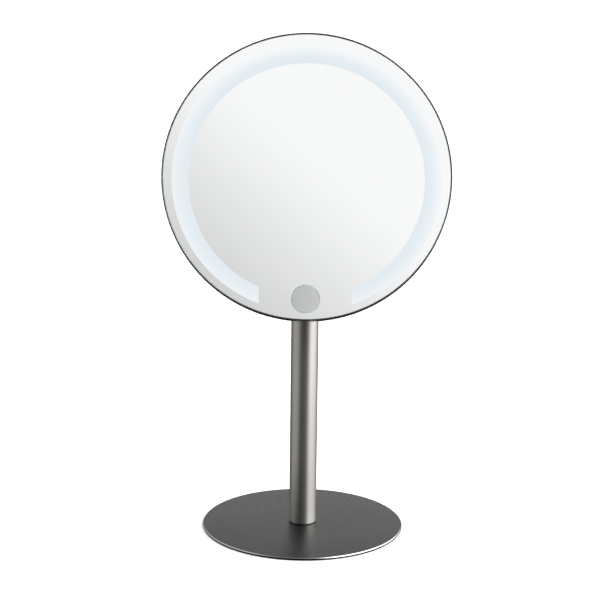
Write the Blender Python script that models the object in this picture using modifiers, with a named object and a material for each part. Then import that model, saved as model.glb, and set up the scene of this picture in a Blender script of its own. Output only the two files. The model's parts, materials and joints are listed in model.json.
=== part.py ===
"""Lighted vanity mirror: a round light-ring mirror head that tilts and swivels on a steel post.

Metres, +Z up, the mirror faces -Y. The origin is the centre of the base's underside.
Head pieces are modelled in the head's own frame: X to the right, Y up along the glass and
Z out of the glass, with Z = 0 at the rim's front edge. A depth is measured behind that edge.
"""
import math

import bmesh
import bpy
from mathutils import Matrix, Vector

# Clearances
GAP = 0.0003
RUNNING_GAP = 0.0001
THREAD_GAP = 0.0002

# Base and post
BASE_RADIUS = 0.0740
BASE_THICKNESS = 0.0019
BASE_CHAMFER = 0.0007
PAD_POCKET_RADIUS = 0.0700
PAD_POCKET_INNER_RADIUS = 0.0110
PAD_THICKNESS = 0.0008
POST_RADIUS = 0.0100
POST_WALL = 0.0010
POST_Y = 0.0032
PLUG_LENGTH = 0.0180
BUSH_LENGTH = 0.0180
BASE_SCREW_RADIUS = 0.0020
BASE_SCREW_HEAD_RADIUS = 0.0034
BASE_SCREW_SOCKET_RADIUS = 0.0013
BASE_SCREW_SOCKET_DEPTH = 0.0012
BASE_SCREW_LENGTH = 0.0125
LOCATING_PIN_RADIUS = 0.0015
LOCATING_PIN_OFFSET = 0.0060

# Head placing
FACE_HEIGHT = 0.2712
TILT_BACK = math.radians(20.5)
HINGE_DEPTH = 0.0360
POST_TOP_BELOW_HINGE = 0.0240

# Head, seen from the front
RIM_RADIUS = 0.1022
RIM_WALL = 0.0010
RIM_FLANGE_INNER = 0.0985
GLASS_THICKNESS = 0.0030
BUTTON_DROP = 0.0865
BUTTON_RADIUS = 0.0098
BUTTON_GAP = 0.00035
BUTTON_TRAVEL = 0.0008
BUTTON_FLANGE_RADIUS = 0.0113
BUTTON_POCKET_RADIUS = 0.0121
LIGHT_GUIDE_INNER = 0.0792
LIGHT_GUIDE_OUTER = 0.0958
LIGHT_GAP_HALF = 0.0325
LED_COUNT = 24

# Head, front to back
GLASS_FRONT = 0.0002
TAPE_FRONT = GLASS_FRONT + GLASS_THICKNESS + GAP
TAPE_THICKNESS = 0.0003
GUIDE_FRONT = 0.0039
LED_STRIP_FRONT = 0.0043
CHASSIS_FRONT = TAPE_FRONT + TAPE_THICKNESS + GAP
PLATE_FRONT = 0.0049
PLATE_BACK = 0.0064
REFLECTOR_FRONT = 0.0067
REFLECTOR_BACK = 0.0071
CHANNEL_FLOOR = 0.0074
CHASSIS_BACK = 0.0085
RIM_DEPTH = 0.0085
RIM_FLANGE = 0.0009
COVER_FRONT = RIM_DEPTH + GAP
COVER_BACK = 0.0180
COVER_WALL = 0.0017
COVER_FLAT_RADIUS = 0.0520
COVER_EDGE_RADIUS = 0.1018
COVER_INNER_EDGE_RADIUS = 0.0980
COVER_CURVE = 2.6
COVER_STEPS = 5
CHANNEL_INNER = 0.0786
CHANNEL_OUTER = 0.0981

# Hinge
EAR_HALF_WIDTH = 0.0094
EAR_THICKNESS = 0.0040
EAR_RADIUS = 0.0075
LUG_HALF_WIDTH = 0.0042
LUG_RADIUS = 0.0072
HINGE_PIN_RADIUS = 0.0030
SPINDLE_RADIUS = 0.0040
BRACKET_RADIUS = 0.0210
BRACKET_THICKNESS = 0.0027
BRACKET_SCREW_CIRCLE = 0.0150

# Screws: head radius, head height and shaft radius
BRACKET_SCREW = (0.0036, 0.0022, 0.0019)
COVER_SCREW = (0.0028, 0.0014, 0.0013)
BOARD_SCREW = (0.0020, 0.0012, 0.0009)
COVER_SCREW_SEAT = 0.0135
COVER_SCREW_TIP = 0.0091
BOARD_SCREW_TIP = 0.0072
PAN_SCREW_CHAMFER = 0.0004

# Electronics behind the chassis
BOARD_CENTRE = Vector((-0.0050, -0.0420))
BOARD_SIZE = (0.0600, 0.0220)
BOARD_FRONT = 0.0087
BOARD_THICKNESS = 0.0016
BOARD_SCREW_X = 0.0260
# The socket stands to one side, so that a plug passes beside the post.
SOCKET_CENTRE = Vector((-0.0210, -0.0420))
BATTERY_CENTRE = Vector((0.0, 0.0320))
BATTERY_SIZE = (0.0600, 0.0400)
BATTERY_THICKNESS = 0.0060
SWITCH_BOARD_FRONT = 0.0088
SWITCH_BOARD_SIZE = (0.0140, 0.0120)
SWITCH_BOARD_THICKNESS = 0.0012
PLUNGER_RADIUS = 0.0017
COVER_SCREW_CIRCLE = 0.0872
LEAD_RADIUS = 0.0006

# Facets
WIDE_SEGMENTS = 72
RING_SEGMENTS = 48
POST_SEGMENTS = 32
SMALL_SEGMENTS = 20
TINY_SEGMENTS = 12

BASE_BOTTOM = GAP
BASE_TOP = BASE_BOTTOM + BASE_THICKNESS
HINGE_HEIGHT = FACE_HEIGHT - HINGE_DEPTH * math.sin(TILT_BACK)
POST_TOP = HINGE_HEIGHT - POST_TOP_BELOW_HINGE
BUTTON_CENTRE = Vector((0.0, -BUTTON_DROP))

# Finish name: colour, roughness, metallic, alpha
FINISHES = {
    "brushed_steel": ((0.52, 0.50, 0.47), 0.32, 1.0, 1.0),
    "satin_base": ((0.12, 0.12, 0.12), 0.42, 1.0, 1.0),
    "dark_rim": ((0.10, 0.10, 0.10), 0.30, 1.0, 1.0),
    "zinc_steel": ((0.60, 0.60, 0.58), 0.35, 1.0, 1.0),
    "brass": ((0.70, 0.53, 0.26), 0.30, 1.0, 1.0),
    "mirror": ((0.92, 0.93, 0.93), 0.02, 1.0, 1.0),
    "rubber": ((0.02, 0.02, 0.02), 0.80, 0.0, 1.0),
    "foam": ((0.08, 0.08, 0.08), 0.90, 0.0, 1.0),
    "nylon": ((0.80, 0.79, 0.74), 0.50, 0.0, 1.0),
    "acrylic": ((0.86, 0.92, 0.96), 0.15, 0.0, 0.6),
    "white_plastic": ((0.85, 0.86, 0.86), 0.40, 0.0, 1.0),
    "grey_plastic": ((0.53, 0.54, 0.52), 0.38, 0.0, 1.0),
    "charcoal_plastic": ((0.07, 0.07, 0.075), 0.45, 0.0, 1.0),
    "board_green": ((0.02, 0.16, 0.07), 0.45, 0.0, 1.0),
    "chip_black": ((0.02, 0.02, 0.02), 0.55, 0.0, 1.0),
    "battery_wrap": ((0.10, 0.22, 0.42), 0.35, 0.0, 1.0),
    "lead_red": ((0.55, 0.03, 0.03), 0.45, 0.0, 1.0),
    "lead_black": ((0.02, 0.02, 0.02), 0.45, 0.0, 1.0),
}


def clear_scene():
    for obj in list(bpy.data.objects):
        bpy.data.objects.remove(obj, do_unlink=True)


def new_collection(name):
    collection = bpy.data.collections.new(name)
    bpy.context.scene.collection.children.link(collection)
    return collection


clear_scene()
PARTS = new_collection("lighted_vanity_mirror")
CUTTERS = new_collection("cutters")


# ---- Shared helpers ---------------------------------------------------------------------------

def give_finish(obj, finish):
    """Give the object its own Principled material with the named finish."""
    colour, roughness, metallic, alpha = FINISHES[finish]
    material = bpy.data.materials.new(obj.name + "_finish")
    material.use_nodes = True
    shader = material.node_tree.nodes["Principled BSDF"]
    shader.inputs["Base Color"].default_value = (*colour, 1.0)
    shader.inputs["Roughness"].default_value = roughness
    shader.inputs["Metallic"].default_value = metallic
    shader.inputs["Alpha"].default_value = alpha
    material.diffuse_color = (*colour, alpha)
    obj.data.materials.append(material)


def add_object(name, mesh, finish, parent=None, location=(0.0, 0.0, 0.0), rotation=(0.0, 0.0, 0.0)):
    """Link a new object: a part when it has a finish, a hidden cutter when it has none."""
    obj = bpy.data.objects.new(name, mesh)
    obj.parent = parent
    obj.location = location
    obj.rotation_euler = rotation
    if finish is None:
        CUTTERS.objects.link(obj)
        obj.hide_render = True
        obj.display_type = "WIRE"
    else:
        PARTS.objects.link(obj)
        give_finish(obj, finish)
    return obj


def shade_round(mesh):
    mesh.shade_smooth()
    mesh.set_sharp_from_angle(angle=math.radians(30.0))


def keep_evaluated_mesh(obj):
    """Replace the object's mesh by what its modifiers make of it."""
    bpy.context.view_layer.update()
    evaluated = obj.evaluated_get(bpy.context.evaluated_depsgraph_get())
    mesh = bpy.data.meshes.new_from_object(evaluated)
    obj.modifiers.clear()
    obj.data = mesh
    shade_round(mesh)


def turned(name, finish, profile, segments, ring=False, **place):
    """Turn (radius, height) points about Z. The points run down the outer side.

    A solid's profile starts and ends on the axis. A ring's profile is a closed loop.
    """
    points = [(radius, 0.0, height) for radius, height in profile]
    edges = [(i, i + 1) for i in range(len(points) - 1)]
    if ring:
        edges.append((len(points) - 1, 0))
    mesh = bpy.data.meshes.new(name)
    mesh.from_pydata(points, edges, [])
    obj = add_object(name, mesh, finish, **place)
    screw = obj.modifiers.new("Turn", "SCREW")
    screw.steps = segments
    screw.render_steps = segments
    screw.use_merge_vertices = True
    screw.merge_threshold = 0.00001
    keep_evaluated_mesh(obj)
    return obj


def flat_ring(name, finish, inner, outer, low, high, segments, **place):
    profile = [(inner, high), (outer, high), (outer, low), (inner, low)]
    return turned(name, finish, profile, segments, ring=True, **place)


def cylinders(name, finish, radius, low, high, centres=((0.0, 0.0),), segments=SMALL_SEGMENTS, **place):
    """One mesh of parallel cylinders along Z, one at each centre."""
    bm = bmesh.new()
    for x, y in centres:
        bmesh.ops.create_cone(bm, cap_ends=True, segments=segments, radius1=radius, radius2=radius,
                              depth=high - low, matrix=Matrix.Translation((x, y, (low + high) / 2)))
    mesh = bpy.data.meshes.new(name)
    bm.to_mesh(mesh)
    bm.free()
    shade_round(mesh)
    return add_object(name, mesh, finish, **place)


def block(name, finish, low, high, bevel=0.0, **place):
    """Box between two corners, with optionally rounded edges."""
    low = Vector(low)
    high = Vector(high)
    bm = bmesh.new()
    bmesh.ops.create_cube(bm, size=1.0)
    bmesh.ops.scale(bm, vec=high - low, verts=bm.verts)
    bmesh.ops.translate(bm, vec=(low + high) / 2, verts=bm.verts)
    mesh = bpy.data.meshes.new(name)
    bm.to_mesh(mesh)
    bm.free()
    obj = add_object(name, mesh, finish, **place)
    if bevel:
        rounding = obj.modifiers.new("Round", "BEVEL")
        rounding.width = bevel
        rounding.segments = 2
    return obj


def rounded_rectangle(width, height, radius, centre=(0.0, 0.0), corner_steps=3):
    """Outline points of a rectangle with round corners, anticlockwise."""
    points = []
    for corner, (side_x, side_y) in enumerate(((1, 1), (-1, 1), (-1, -1), (1, -1))):
        middle_x = centre[0] + side_x * (width / 2 - radius)
        middle_y = centre[1] + side_y * (height / 2 - radius)
        for step in range(corner_steps + 1):
            angle = math.radians(90.0) * (corner + step / corner_steps)
            points.append((middle_x + radius * math.cos(angle), middle_y + radius * math.sin(angle)))
    return points


def plate(name, finish, outline, low, high, **place):
    """Flat outline in X and Y, extruded from low to high along Z."""
    curve = bpy.data.curves.new(name, "CURVE")
    curve.dimensions = "2D"
    curve.fill_mode = "BOTH"
    curve.extrude = (high - low) / 2
    spline = curve.splines.new("POLY")
    spline.points.add(len(outline) - 1)
    for point, (x, y) in zip(spline.points, outline):
        point.co = (x, y, 0.0, 1.0)
    spline.use_cyclic_u = True
    outline_object = bpy.data.objects.new(name + "_outline", curve)
    CUTTERS.objects.link(outline_object)
    bpy.context.view_layer.update()
    evaluated = outline_object.evaluated_get(bpy.context.evaluated_depsgraph_get())
    mesh = bpy.data.meshes.new_from_object(evaluated)
    bpy.data.objects.remove(outline_object)
    bm = bmesh.new()
    bm.from_mesh(mesh)
    bmesh.ops.remove_doubles(bm, verts=bm.verts, dist=0.00001)
    bmesh.ops.translate(bm, vec=(0.0, 0.0, (low + high) / 2), verts=bm.verts)
    bm.to_mesh(mesh)
    bm.free()
    mesh.materials.clear()
    return add_object(name, mesh, finish, **place)


def smooth_route(points, spacing):
    """Evenly spaced points on a smooth curve through the route's own points."""
    points = [Vector(point) for point in points]
    padded = [2 * points[0] - points[1]] + points + [2 * points[-1] - points[-2]]
    fine = []
    steps = 40
    for a, b, c, d in zip(padded, padded[1:], padded[2:], padded[3:]):
        for step in range(steps):
            t = step / steps
            fine.append(0.5 * (2 * b + (c - a) * t + (2 * a - 5 * b + 4 * c - d) * t ** 2
                               + (3 * b - a - 3 * c + d) * t ** 3))
    fine.append(points[-1])
    length = sum((b - a).length for a, b in zip(fine, fine[1:]))
    count = max(2, round(length / spacing))
    route = [fine[0]]
    travelled = 0.0
    for a, b in zip(fine, fine[1:]):
        travelled += (b - a).length
        if travelled >= len(route) * length / count and len(route) < count:
            route.append(b)
    route.append(fine[-1])
    return route


def lead(name, finish, route, **place):
    """Insulated wire along the route, given as (x, y, depth) points."""
    points = smooth_route([(x, y, -depth) for x, y, depth in route], spacing=8 * LEAD_RADIUS)
    curve = bpy.data.curves.new(name, "CURVE")
    curve.dimensions = "3D"
    curve.bevel_depth = LEAD_RADIUS
    curve.bevel_resolution = 2
    curve.use_fill_caps = True
    spline = curve.splines.new("POLY")
    spline.points.add(len(points) - 1)
    for point, place_at in zip(spline.points, points):
        point.co = (*place_at, 1.0)
    return add_object(name, curve, finish, **place)


def boolean(target, other, operation):
    modifier = target.modifiers.new(other.name, "BOOLEAN")
    modifier.operation = operation
    modifier.object = other
    modifier.solver = "EXACT"


def cut(target, *others):
    for other in others:
        boolean(target, other, "DIFFERENCE")


def join(target, *others):
    for other in others:
        boolean(target, other, "UNION")


def empty(name, parent=None, location=(0.0, 0.0, 0.0), rotation=(0.0, 0.0, 0.0)):
    obj = bpy.data.objects.new(name, None)
    obj.empty_display_size = 0.02
    obj.parent = parent
    obj.location = location
    obj.rotation_euler = rotation
    PARTS.objects.link(obj)
    return obj


def round_places(radius, count, first_degrees):
    """Centres spread evenly around a circle."""
    angles = [math.radians(first_degrees + 360.0 * i / count) for i in range(count)]
    return [(radius * math.cos(angle), radius * math.sin(angle)) for angle in angles]


# ---- Frames: post, swivel axis, tilt axis and the head's own frame -------------------------------

POST_FRAME = empty("post_frame", location=(0.0, POST_Y, 0.0))
SWIVEL_AXIS = empty("swivel_axis", POST_FRAME, (0.0, 0.0, POST_TOP))
TILT_AXIS = empty("tilt_axis", SWIVEL_AXIS, (0.0, 0.0, POST_TOP_BELOW_HINGE),
                  (math.radians(90.0) - TILT_BACK, 0.0, 0.0))
HEAD = empty("head_frame", TILT_AXIS, (0.0, 0.0, HINGE_DEPTH))
BUTTON_AXIS = empty("button_axis", HEAD, (*BUTTON_CENTRE, 0.0))

ALONG_X = (0.0, math.radians(90.0), 0.0)


# ---- Stand -------------------------------------------------------------------------------------

def make_base():
    plate_profile = [
        (0.0, BASE_TOP), (BASE_RADIUS - BASE_CHAMFER, BASE_TOP), (BASE_RADIUS, BASE_TOP - BASE_CHAMFER),
        (BASE_RADIUS, BASE_BOTTOM + GAP), (BASE_RADIUS - GAP, BASE_BOTTOM), (0.0, BASE_BOTTOM)]
    base_plate = turned("base_plate", "satin_base", plate_profile, WIDE_SEGMENTS)
    pad_pocket = flat_ring("base_pad_pocket", None, PAD_POCKET_INNER_RADIUS, PAD_POCKET_RADIUS,
                           -BASE_THICKNESS, PAD_THICKNESS + GAP, WIDE_SEGMENTS)
    clearance = BASE_SCREW_RADIUS + GAP
    cone_top = BASE_TOP - GAP
    wide = clearance + cone_top
    sink_profile = [
        (0.0, BASE_TOP + 0.001), (clearance, BASE_TOP + 0.001), (clearance, cone_top),
        (wide, 0.0), (0.0, 0.0)]
    countersink = turned("base_countersink", None, sink_profile, SMALL_SEGMENTS, parent=POST_FRAME)
    pin_hole = cylinders("base_pin_hole", None, LOCATING_PIN_RADIUS + GAP, 0.0, BASE_TOP + 0.001,
                         [(LOCATING_PIN_OFFSET, 0.0)], TINY_SEGMENTS, parent=POST_FRAME)
    cut(base_plate, pad_pocket, countersink, pin_hole)
    flat_ring("base_pad", "rubber", PAD_POCKET_INNER_RADIUS + GAP, PAD_POCKET_RADIUS - GAP, 0.0,
              PAD_THICKNESS, WIDE_SEGMENTS)


def make_base_fixings():
    head_bottom = BASE_BOTTOM + 0.0001
    cone_bottom = head_bottom + 0.0001
    cone_top = cone_bottom + BASE_SCREW_HEAD_RADIUS - BASE_SCREW_RADIUS
    top = head_bottom + BASE_SCREW_LENGTH
    socket = BASE_SCREW_SOCKET_RADIUS
    socket_top = head_bottom + BASE_SCREW_SOCKET_DEPTH
    screw_profile = [
        (0.0, top), (BASE_SCREW_RADIUS - 0.0005, top), (BASE_SCREW_RADIUS, top - 0.0005),
        (BASE_SCREW_RADIUS, cone_top), (BASE_SCREW_HEAD_RADIUS, cone_bottom),
        (BASE_SCREW_HEAD_RADIUS, head_bottom), (socket, head_bottom), (socket, socket_top),
        (0.0, socket_top)]
    turned("base_screw", "zinc_steel", screw_profile, SMALL_SEGMENTS, parent=POST_FRAME)
    cylinders("base_locating_pin", "zinc_steel", LOCATING_PIN_RADIUS, BASE_BOTTOM + GAP, BASE_TOP + 0.0055,
              [(LOCATING_PIN_OFFSET, 0.0)], TINY_SEGMENTS, parent=POST_FRAME)


def make_post():
    bottom = BASE_TOP + GAP
    inner = POST_RADIUS - POST_WALL
    tube_profile = [
        (inner, POST_TOP), (POST_RADIUS - GAP, POST_TOP), (POST_RADIUS, POST_TOP - GAP),
        (POST_RADIUS, bottom + GAP), (POST_RADIUS - GAP, bottom), (inner, bottom)]
    turned("post_tube", "brushed_steel", tube_profile, POST_SEGMENTS, ring=True, parent=POST_FRAME)

    plug_radius = inner - GAP
    thread_radius = BASE_SCREW_RADIUS + GAP
    thread_top = BASE_BOTTOM + BASE_SCREW_LENGTH + 0.001
    plug_profile = [
        (0.0, bottom + PLUG_LENGTH), (plug_radius, bottom + PLUG_LENGTH), (plug_radius, bottom),
        (thread_radius, bottom), (thread_radius, thread_top), (0.0, thread_top)]
    foot_plug = turned("post_foot_plug", "zinc_steel", plug_profile, SMALL_SEGMENTS, parent=POST_FRAME)
    pin_hole = cylinders("plug_pin_hole", None, LOCATING_PIN_RADIUS + GAP, BASE_TOP, BASE_TOP + 0.0060,
                         [(LOCATING_PIN_OFFSET, 0.0)], TINY_SEGMENTS, parent=POST_FRAME)
    cut(foot_plug, pin_hole)
    flat_ring("post_top_bush", "brass", SPINDLE_RADIUS + RUNNING_GAP, plug_radius,
              POST_TOP - BUSH_LENGTH, POST_TOP, POST_SEGMENTS, parent=POST_FRAME)


# ---- Swivel and tilt joint -----------------------------------------------------------------------

def make_yoke():
    """Fork on a spindle. Heights are measured from the post's top."""
    foot_low = 0.0013
    foot_high = foot_low + 0.0045
    groove_top = -BUSH_LENGTH - 0.0010
    groove_bottom = groove_top - 0.0010
    spindle_end = groove_bottom - 0.0015
    profile = [
        (0.0, foot_high), (POST_RADIUS - 0.0008, foot_high), (POST_RADIUS, foot_high - 0.0008),
        (POST_RADIUS, foot_low), (SPINDLE_RADIUS, foot_low), (SPINDLE_RADIUS, groove_top),
        (0.0031, groove_top), (0.0031, groove_bottom), (SPINDLE_RADIUS, groove_bottom),
        (SPINDLE_RADIUS, spindle_end), (0.0, spindle_end)]
    yoke = turned("swivel_yoke", "zinc_steel", profile, POST_SEGMENTS, parent=SWIVEL_AXIS)
    hinge = POST_TOP_BELOW_HINGE
    arm_x = EAR_HALF_WIDTH - 0.0002
    arm_y = EAR_RADIUS - 0.0002
    arms = block("yoke_arms", None, (-arm_x, -arm_y, foot_high - 0.002), (arm_x, arm_y, hinge),
                 parent=SWIVEL_AXIS)
    knuckle = cylinders("yoke_knuckle", None, EAR_RADIUS, -EAR_HALF_WIDTH, EAR_HALF_WIDTH,
                        parent=SWIVEL_AXIS, location=(0.0, 0.0, hinge), rotation=ALONG_X)
    join(yoke, arms, knuckle)
    slot_x = EAR_HALF_WIDTH - EAR_THICKNESS
    slot = block("yoke_slot", None, (-slot_x, -0.012, hinge - 0.0130), (slot_x, 0.012, hinge + 0.012),
                 parent=SWIVEL_AXIS)
    pin_hole = cylinders("yoke_pin_hole", None, HINGE_PIN_RADIUS + THREAD_GAP, -0.015, 0.015,
                         parent=SWIVEL_AXIS, location=(0.0, 0.0, hinge), rotation=ALONG_X)
    cut(yoke, slot, pin_hole)

    flat_ring("swivel_washer", "nylon", SPINDLE_RADIUS + GAP, POST_RADIUS - 0.0004, GAP, 0.0010,
              POST_SEGMENTS, parent=SWIVEL_AXIS)
    washer_top = -BUSH_LENGTH - GAP
    flat_ring("swivel_spring_washer", "zinc_steel", SPINDLE_RADIUS + GAP, 0.0080, washer_top - 0.0004,
              washer_top, SMALL_SEGMENTS, parent=SWIVEL_AXIS)
    clip_top = groove_top - 0.0002
    clip = flat_ring("swivel_clip", "zinc_steel", 0.0033, 0.0070, clip_top - 0.0006, clip_top,
                     SMALL_SEGMENTS, parent=SWIVEL_AXIS)
    mouth = block("clip_mouth", None, (-0.0018, 0.0, clip_top - 0.002), (0.0018, 0.009, clip_top + 0.001),
                  parent=SWIVEL_AXIS)
    cut(clip, mouth)


def make_tilt_fixings():
    """Hinge screw, nut and washers. They lie along X, so their own Z is the hinge's axis."""
    place = {"parent": SWIVEL_AXIS, "location": (0.0, 0.0, POST_TOP_BELOW_HINGE), "rotation": ALONG_X}
    head_low = EAR_HALF_WIDTH + GAP
    head_high = head_low + 0.0025
    head_radius = 0.0050
    pin_end = -0.0138
    socket = 0.0017
    profile = [
        (0.0, head_high - 0.0015), (socket, head_high - 0.0015), (socket, head_high),
        (head_radius - 0.0004, head_high), (head_radius, head_high - 0.0004), (head_radius, head_low),
        (HINGE_PIN_RADIUS, head_low), (HINGE_PIN_RADIUS, pin_end), (0.0, pin_end)]
    turned("tilt_pin", "zinc_steel", profile, SMALL_SEGMENTS, **place)

    washer_high = -EAR_HALF_WIDTH - GAP
    flat_ring("tilt_spring_washer", "zinc_steel", HINGE_PIN_RADIUS + GAP, 0.0056, washer_high - 0.0006,
              washer_high, SMALL_SEGMENTS, **place)
    nut_high = washer_high - 0.0006 - GAP
    nut = cylinders("tilt_nut", "zinc_steel", 0.0057, nut_high - 0.0032, nut_high, segments=6, **place)
    nut_hole = cylinders("nut_hole", None, HINGE_PIN_RADIUS + THREAD_GAP, -0.02, 0.0, **place)
    cut(nut, nut_hole)

    thickness = EAR_HALF_WIDTH - EAR_THICKNESS - LUG_HALF_WIDTH - 2 * GAP
    for side, low in (("left", -LUG_HALF_WIDTH - GAP - thickness), ("right", LUG_HALF_WIDTH + GAP)):
        flat_ring("friction_washer_" + side, "nylon", HINGE_PIN_RADIUS + GAP, 0.0070, low,
                  low + thickness, SMALL_SEGMENTS, **place)


def make_bracket():
    """Round flange on the rear cover with the hinge's lug, its screws and the plate behind them."""
    flange_front = COVER_BACK + GAP
    flange_back = flange_front + BRACKET_THICKNESS
    bracket = cylinders("tilt_bracket", "zinc_steel", BRACKET_RADIUS, -flange_back, -flange_front,
                        segments=POST_SEGMENTS, parent=HEAD)
    lug = block("bracket_lug", None, (-LUG_HALF_WIDTH + 0.0002, -LUG_RADIUS + 0.0002, -HINGE_DEPTH),
                (LUG_HALF_WIDTH - 0.0002, LUG_RADIUS - 0.0002, -flange_back + 0.0005), parent=HEAD)
    eye = cylinders("bracket_eye", None, LUG_RADIUS, -LUG_HALF_WIDTH, LUG_HALF_WIDTH, parent=TILT_AXIS,
                    rotation=ALONG_X)
    join(bracket, lug, eye)
    bore = cylinders("bracket_bore", None, HINGE_PIN_RADIUS + RUNNING_GAP, -0.01, 0.01, parent=TILT_AXIS,
                     rotation=ALONG_X)
    centres = round_places(BRACKET_SCREW_CIRCLE, 3, 90.0)
    screw_holes = cylinders("bracket_screw_holes", None, 0.0022, -flange_back - 0.001,
                            -COVER_BACK + 0.008, centres, TINY_SEGMENTS, parent=HEAD)
    cut(bracket, bore, screw_holes)

    plate_back = COVER_BACK - COVER_WALL - GAP
    backing = cylinders("bracket_plate", "zinc_steel", BRACKET_RADIUS, -plate_back, -plate_back + 0.0015,
                        segments=POST_SEGMENTS, parent=HEAD)
    cut(backing, screw_holes)
    screw_front = plate_back - 0.0018
    for number, centre in enumerate(centres, 1):
        pan_screw("bracket_screw_%d" % number, centre, flange_back + GAP, BRACKET_SCREW, screw_front)
    return screw_holes


def pan_screw(name, centre, seat, size, tip):
    """Screw driven from behind: its head's underside lies at the seat depth, its end at the tip's."""
    head_radius, head_height, shaft_radius = size
    socket = head_radius * 0.45
    back = seat + head_height
    socket_bottom = back - head_height * 0.6
    profile = [
        (0.0, -tip), (shaft_radius, -tip), (shaft_radius, -seat), (head_radius, -seat),
        (head_radius, -back + PAN_SCREW_CHAMFER), (head_radius - PAN_SCREW_CHAMFER, -back),
        (socket, -back), (socket, -socket_bottom), (0.0, -socket_bottom)]
    turned(name, "zinc_steel", profile, TINY_SEGMENTS, parent=HEAD, location=(*centre, 0.0))


# ---- Head: glass, rim, light ---------------------------------------------------------------------

def make_rim_and_glass():
    inner = RIM_RADIUS - RIM_WALL
    edge = 0.0002
    rim_profile = [
        (inner, -edge), (inner + edge, 0.0), (RIM_RADIUS - edge, 0.0), (RIM_RADIUS, -edge),
        (RIM_RADIUS, -RIM_DEPTH), (RIM_FLANGE_INNER, -RIM_DEPTH),
        (RIM_FLANGE_INNER, -RIM_DEPTH + RIM_FLANGE), (inner, -RIM_DEPTH + RIM_FLANGE)]
    turned("rim_ring", "dark_rim", rim_profile, WIDE_SEGMENTS, ring=True, parent=HEAD)

    glass_radius = inner - GAP
    glass = cylinders("mirror_glass", "mirror", glass_radius, -GLASS_FRONT - GLASS_THICKNESS,
                      -GLASS_FRONT, segments=WIDE_SEGMENTS, parent=HEAD)
    hole = cylinders("glass_button_hole", None, BUTTON_RADIUS + BUTTON_GAP, -0.006, 0.002,
                     [BUTTON_CENTRE], POST_SEGMENTS, parent=HEAD)
    cut(glass, hole)

    flat_ring("glass_tape", "foam", CHANNEL_OUTER + 0.0014, glass_radius - 0.0004,
              -TAPE_FRONT - TAPE_THICKNESS, -TAPE_FRONT, RING_SEGMENTS, parent=HEAD)
    cylinders("glass_pad", "foam", 0.0600, -PLATE_FRONT + GAP, -TAPE_FRONT, segments=POST_SEGMENTS,
              parent=HEAD)


def make_light():
    """Edge-lit ring, open at the bottom where the button is."""
    gap_box = block("light_gap", None, (-LIGHT_GAP_HALF, -RIM_RADIUS, -CHASSIS_BACK),
                    (LIGHT_GAP_HALF, -RIM_RADIUS / 2, 0.0), parent=HEAD)
    guide = flat_ring("light_guide", "acrylic", LIGHT_GUIDE_INNER, LIGHT_GUIDE_OUTER, -PLATE_BACK,
                      -GUIDE_FRONT, RING_SEGMENTS, parent=HEAD)
    reflector = flat_ring("reflector_sheet", "white_plastic", LIGHT_GUIDE_INNER, LIGHT_GUIDE_OUTER,
                          -REFLECTOR_BACK, -REFLECTOR_FRONT, RING_SEGMENTS, parent=HEAD)
    cut(guide, gap_box)
    cut(reflector, gap_box)

    strip_inner = CHANNEL_OUTER - 0.0009
    strip = flat_ring("led_strip", "white_plastic", strip_inner, CHANNEL_OUTER - 0.0004,
                      -REFLECTOR_BACK, -LED_STRIP_FRONT, RING_SEGMENTS, parent=HEAD)
    bm = bmesh.new()
    first_angle = math.asin(LIGHT_GAP_HALF / strip_inner) + math.radians(3.0)
    turn = (2 * math.pi - 2 * first_angle) / (LED_COUNT - 1)
    led_size = (0.0012, 0.0028, 0.0022)
    led_depth = (LED_STRIP_FRONT + REFLECTOR_BACK) / 2
    for number in range(LED_COUNT):
        angle = -math.pi / 2 + first_angle + number * turn
        place = Matrix.Translation((strip_inner - 0.0004, 0.0, -led_depth))
        matrix = Matrix.Rotation(angle, 4, "Z") @ place @ Matrix.Diagonal((*led_size, 1.0))
        bmesh.ops.create_cube(bm, size=1.0, matrix=matrix)
    mesh = bpy.data.meshes.new("led_blocks")
    bm.to_mesh(mesh)
    bm.free()
    leds = add_object("led_blocks", mesh, None, parent=HEAD)
    join(strip, leds)
    cut(strip, gap_box)


# ---- Head: chassis and rear cover ------------------------------------------------------------------

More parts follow.
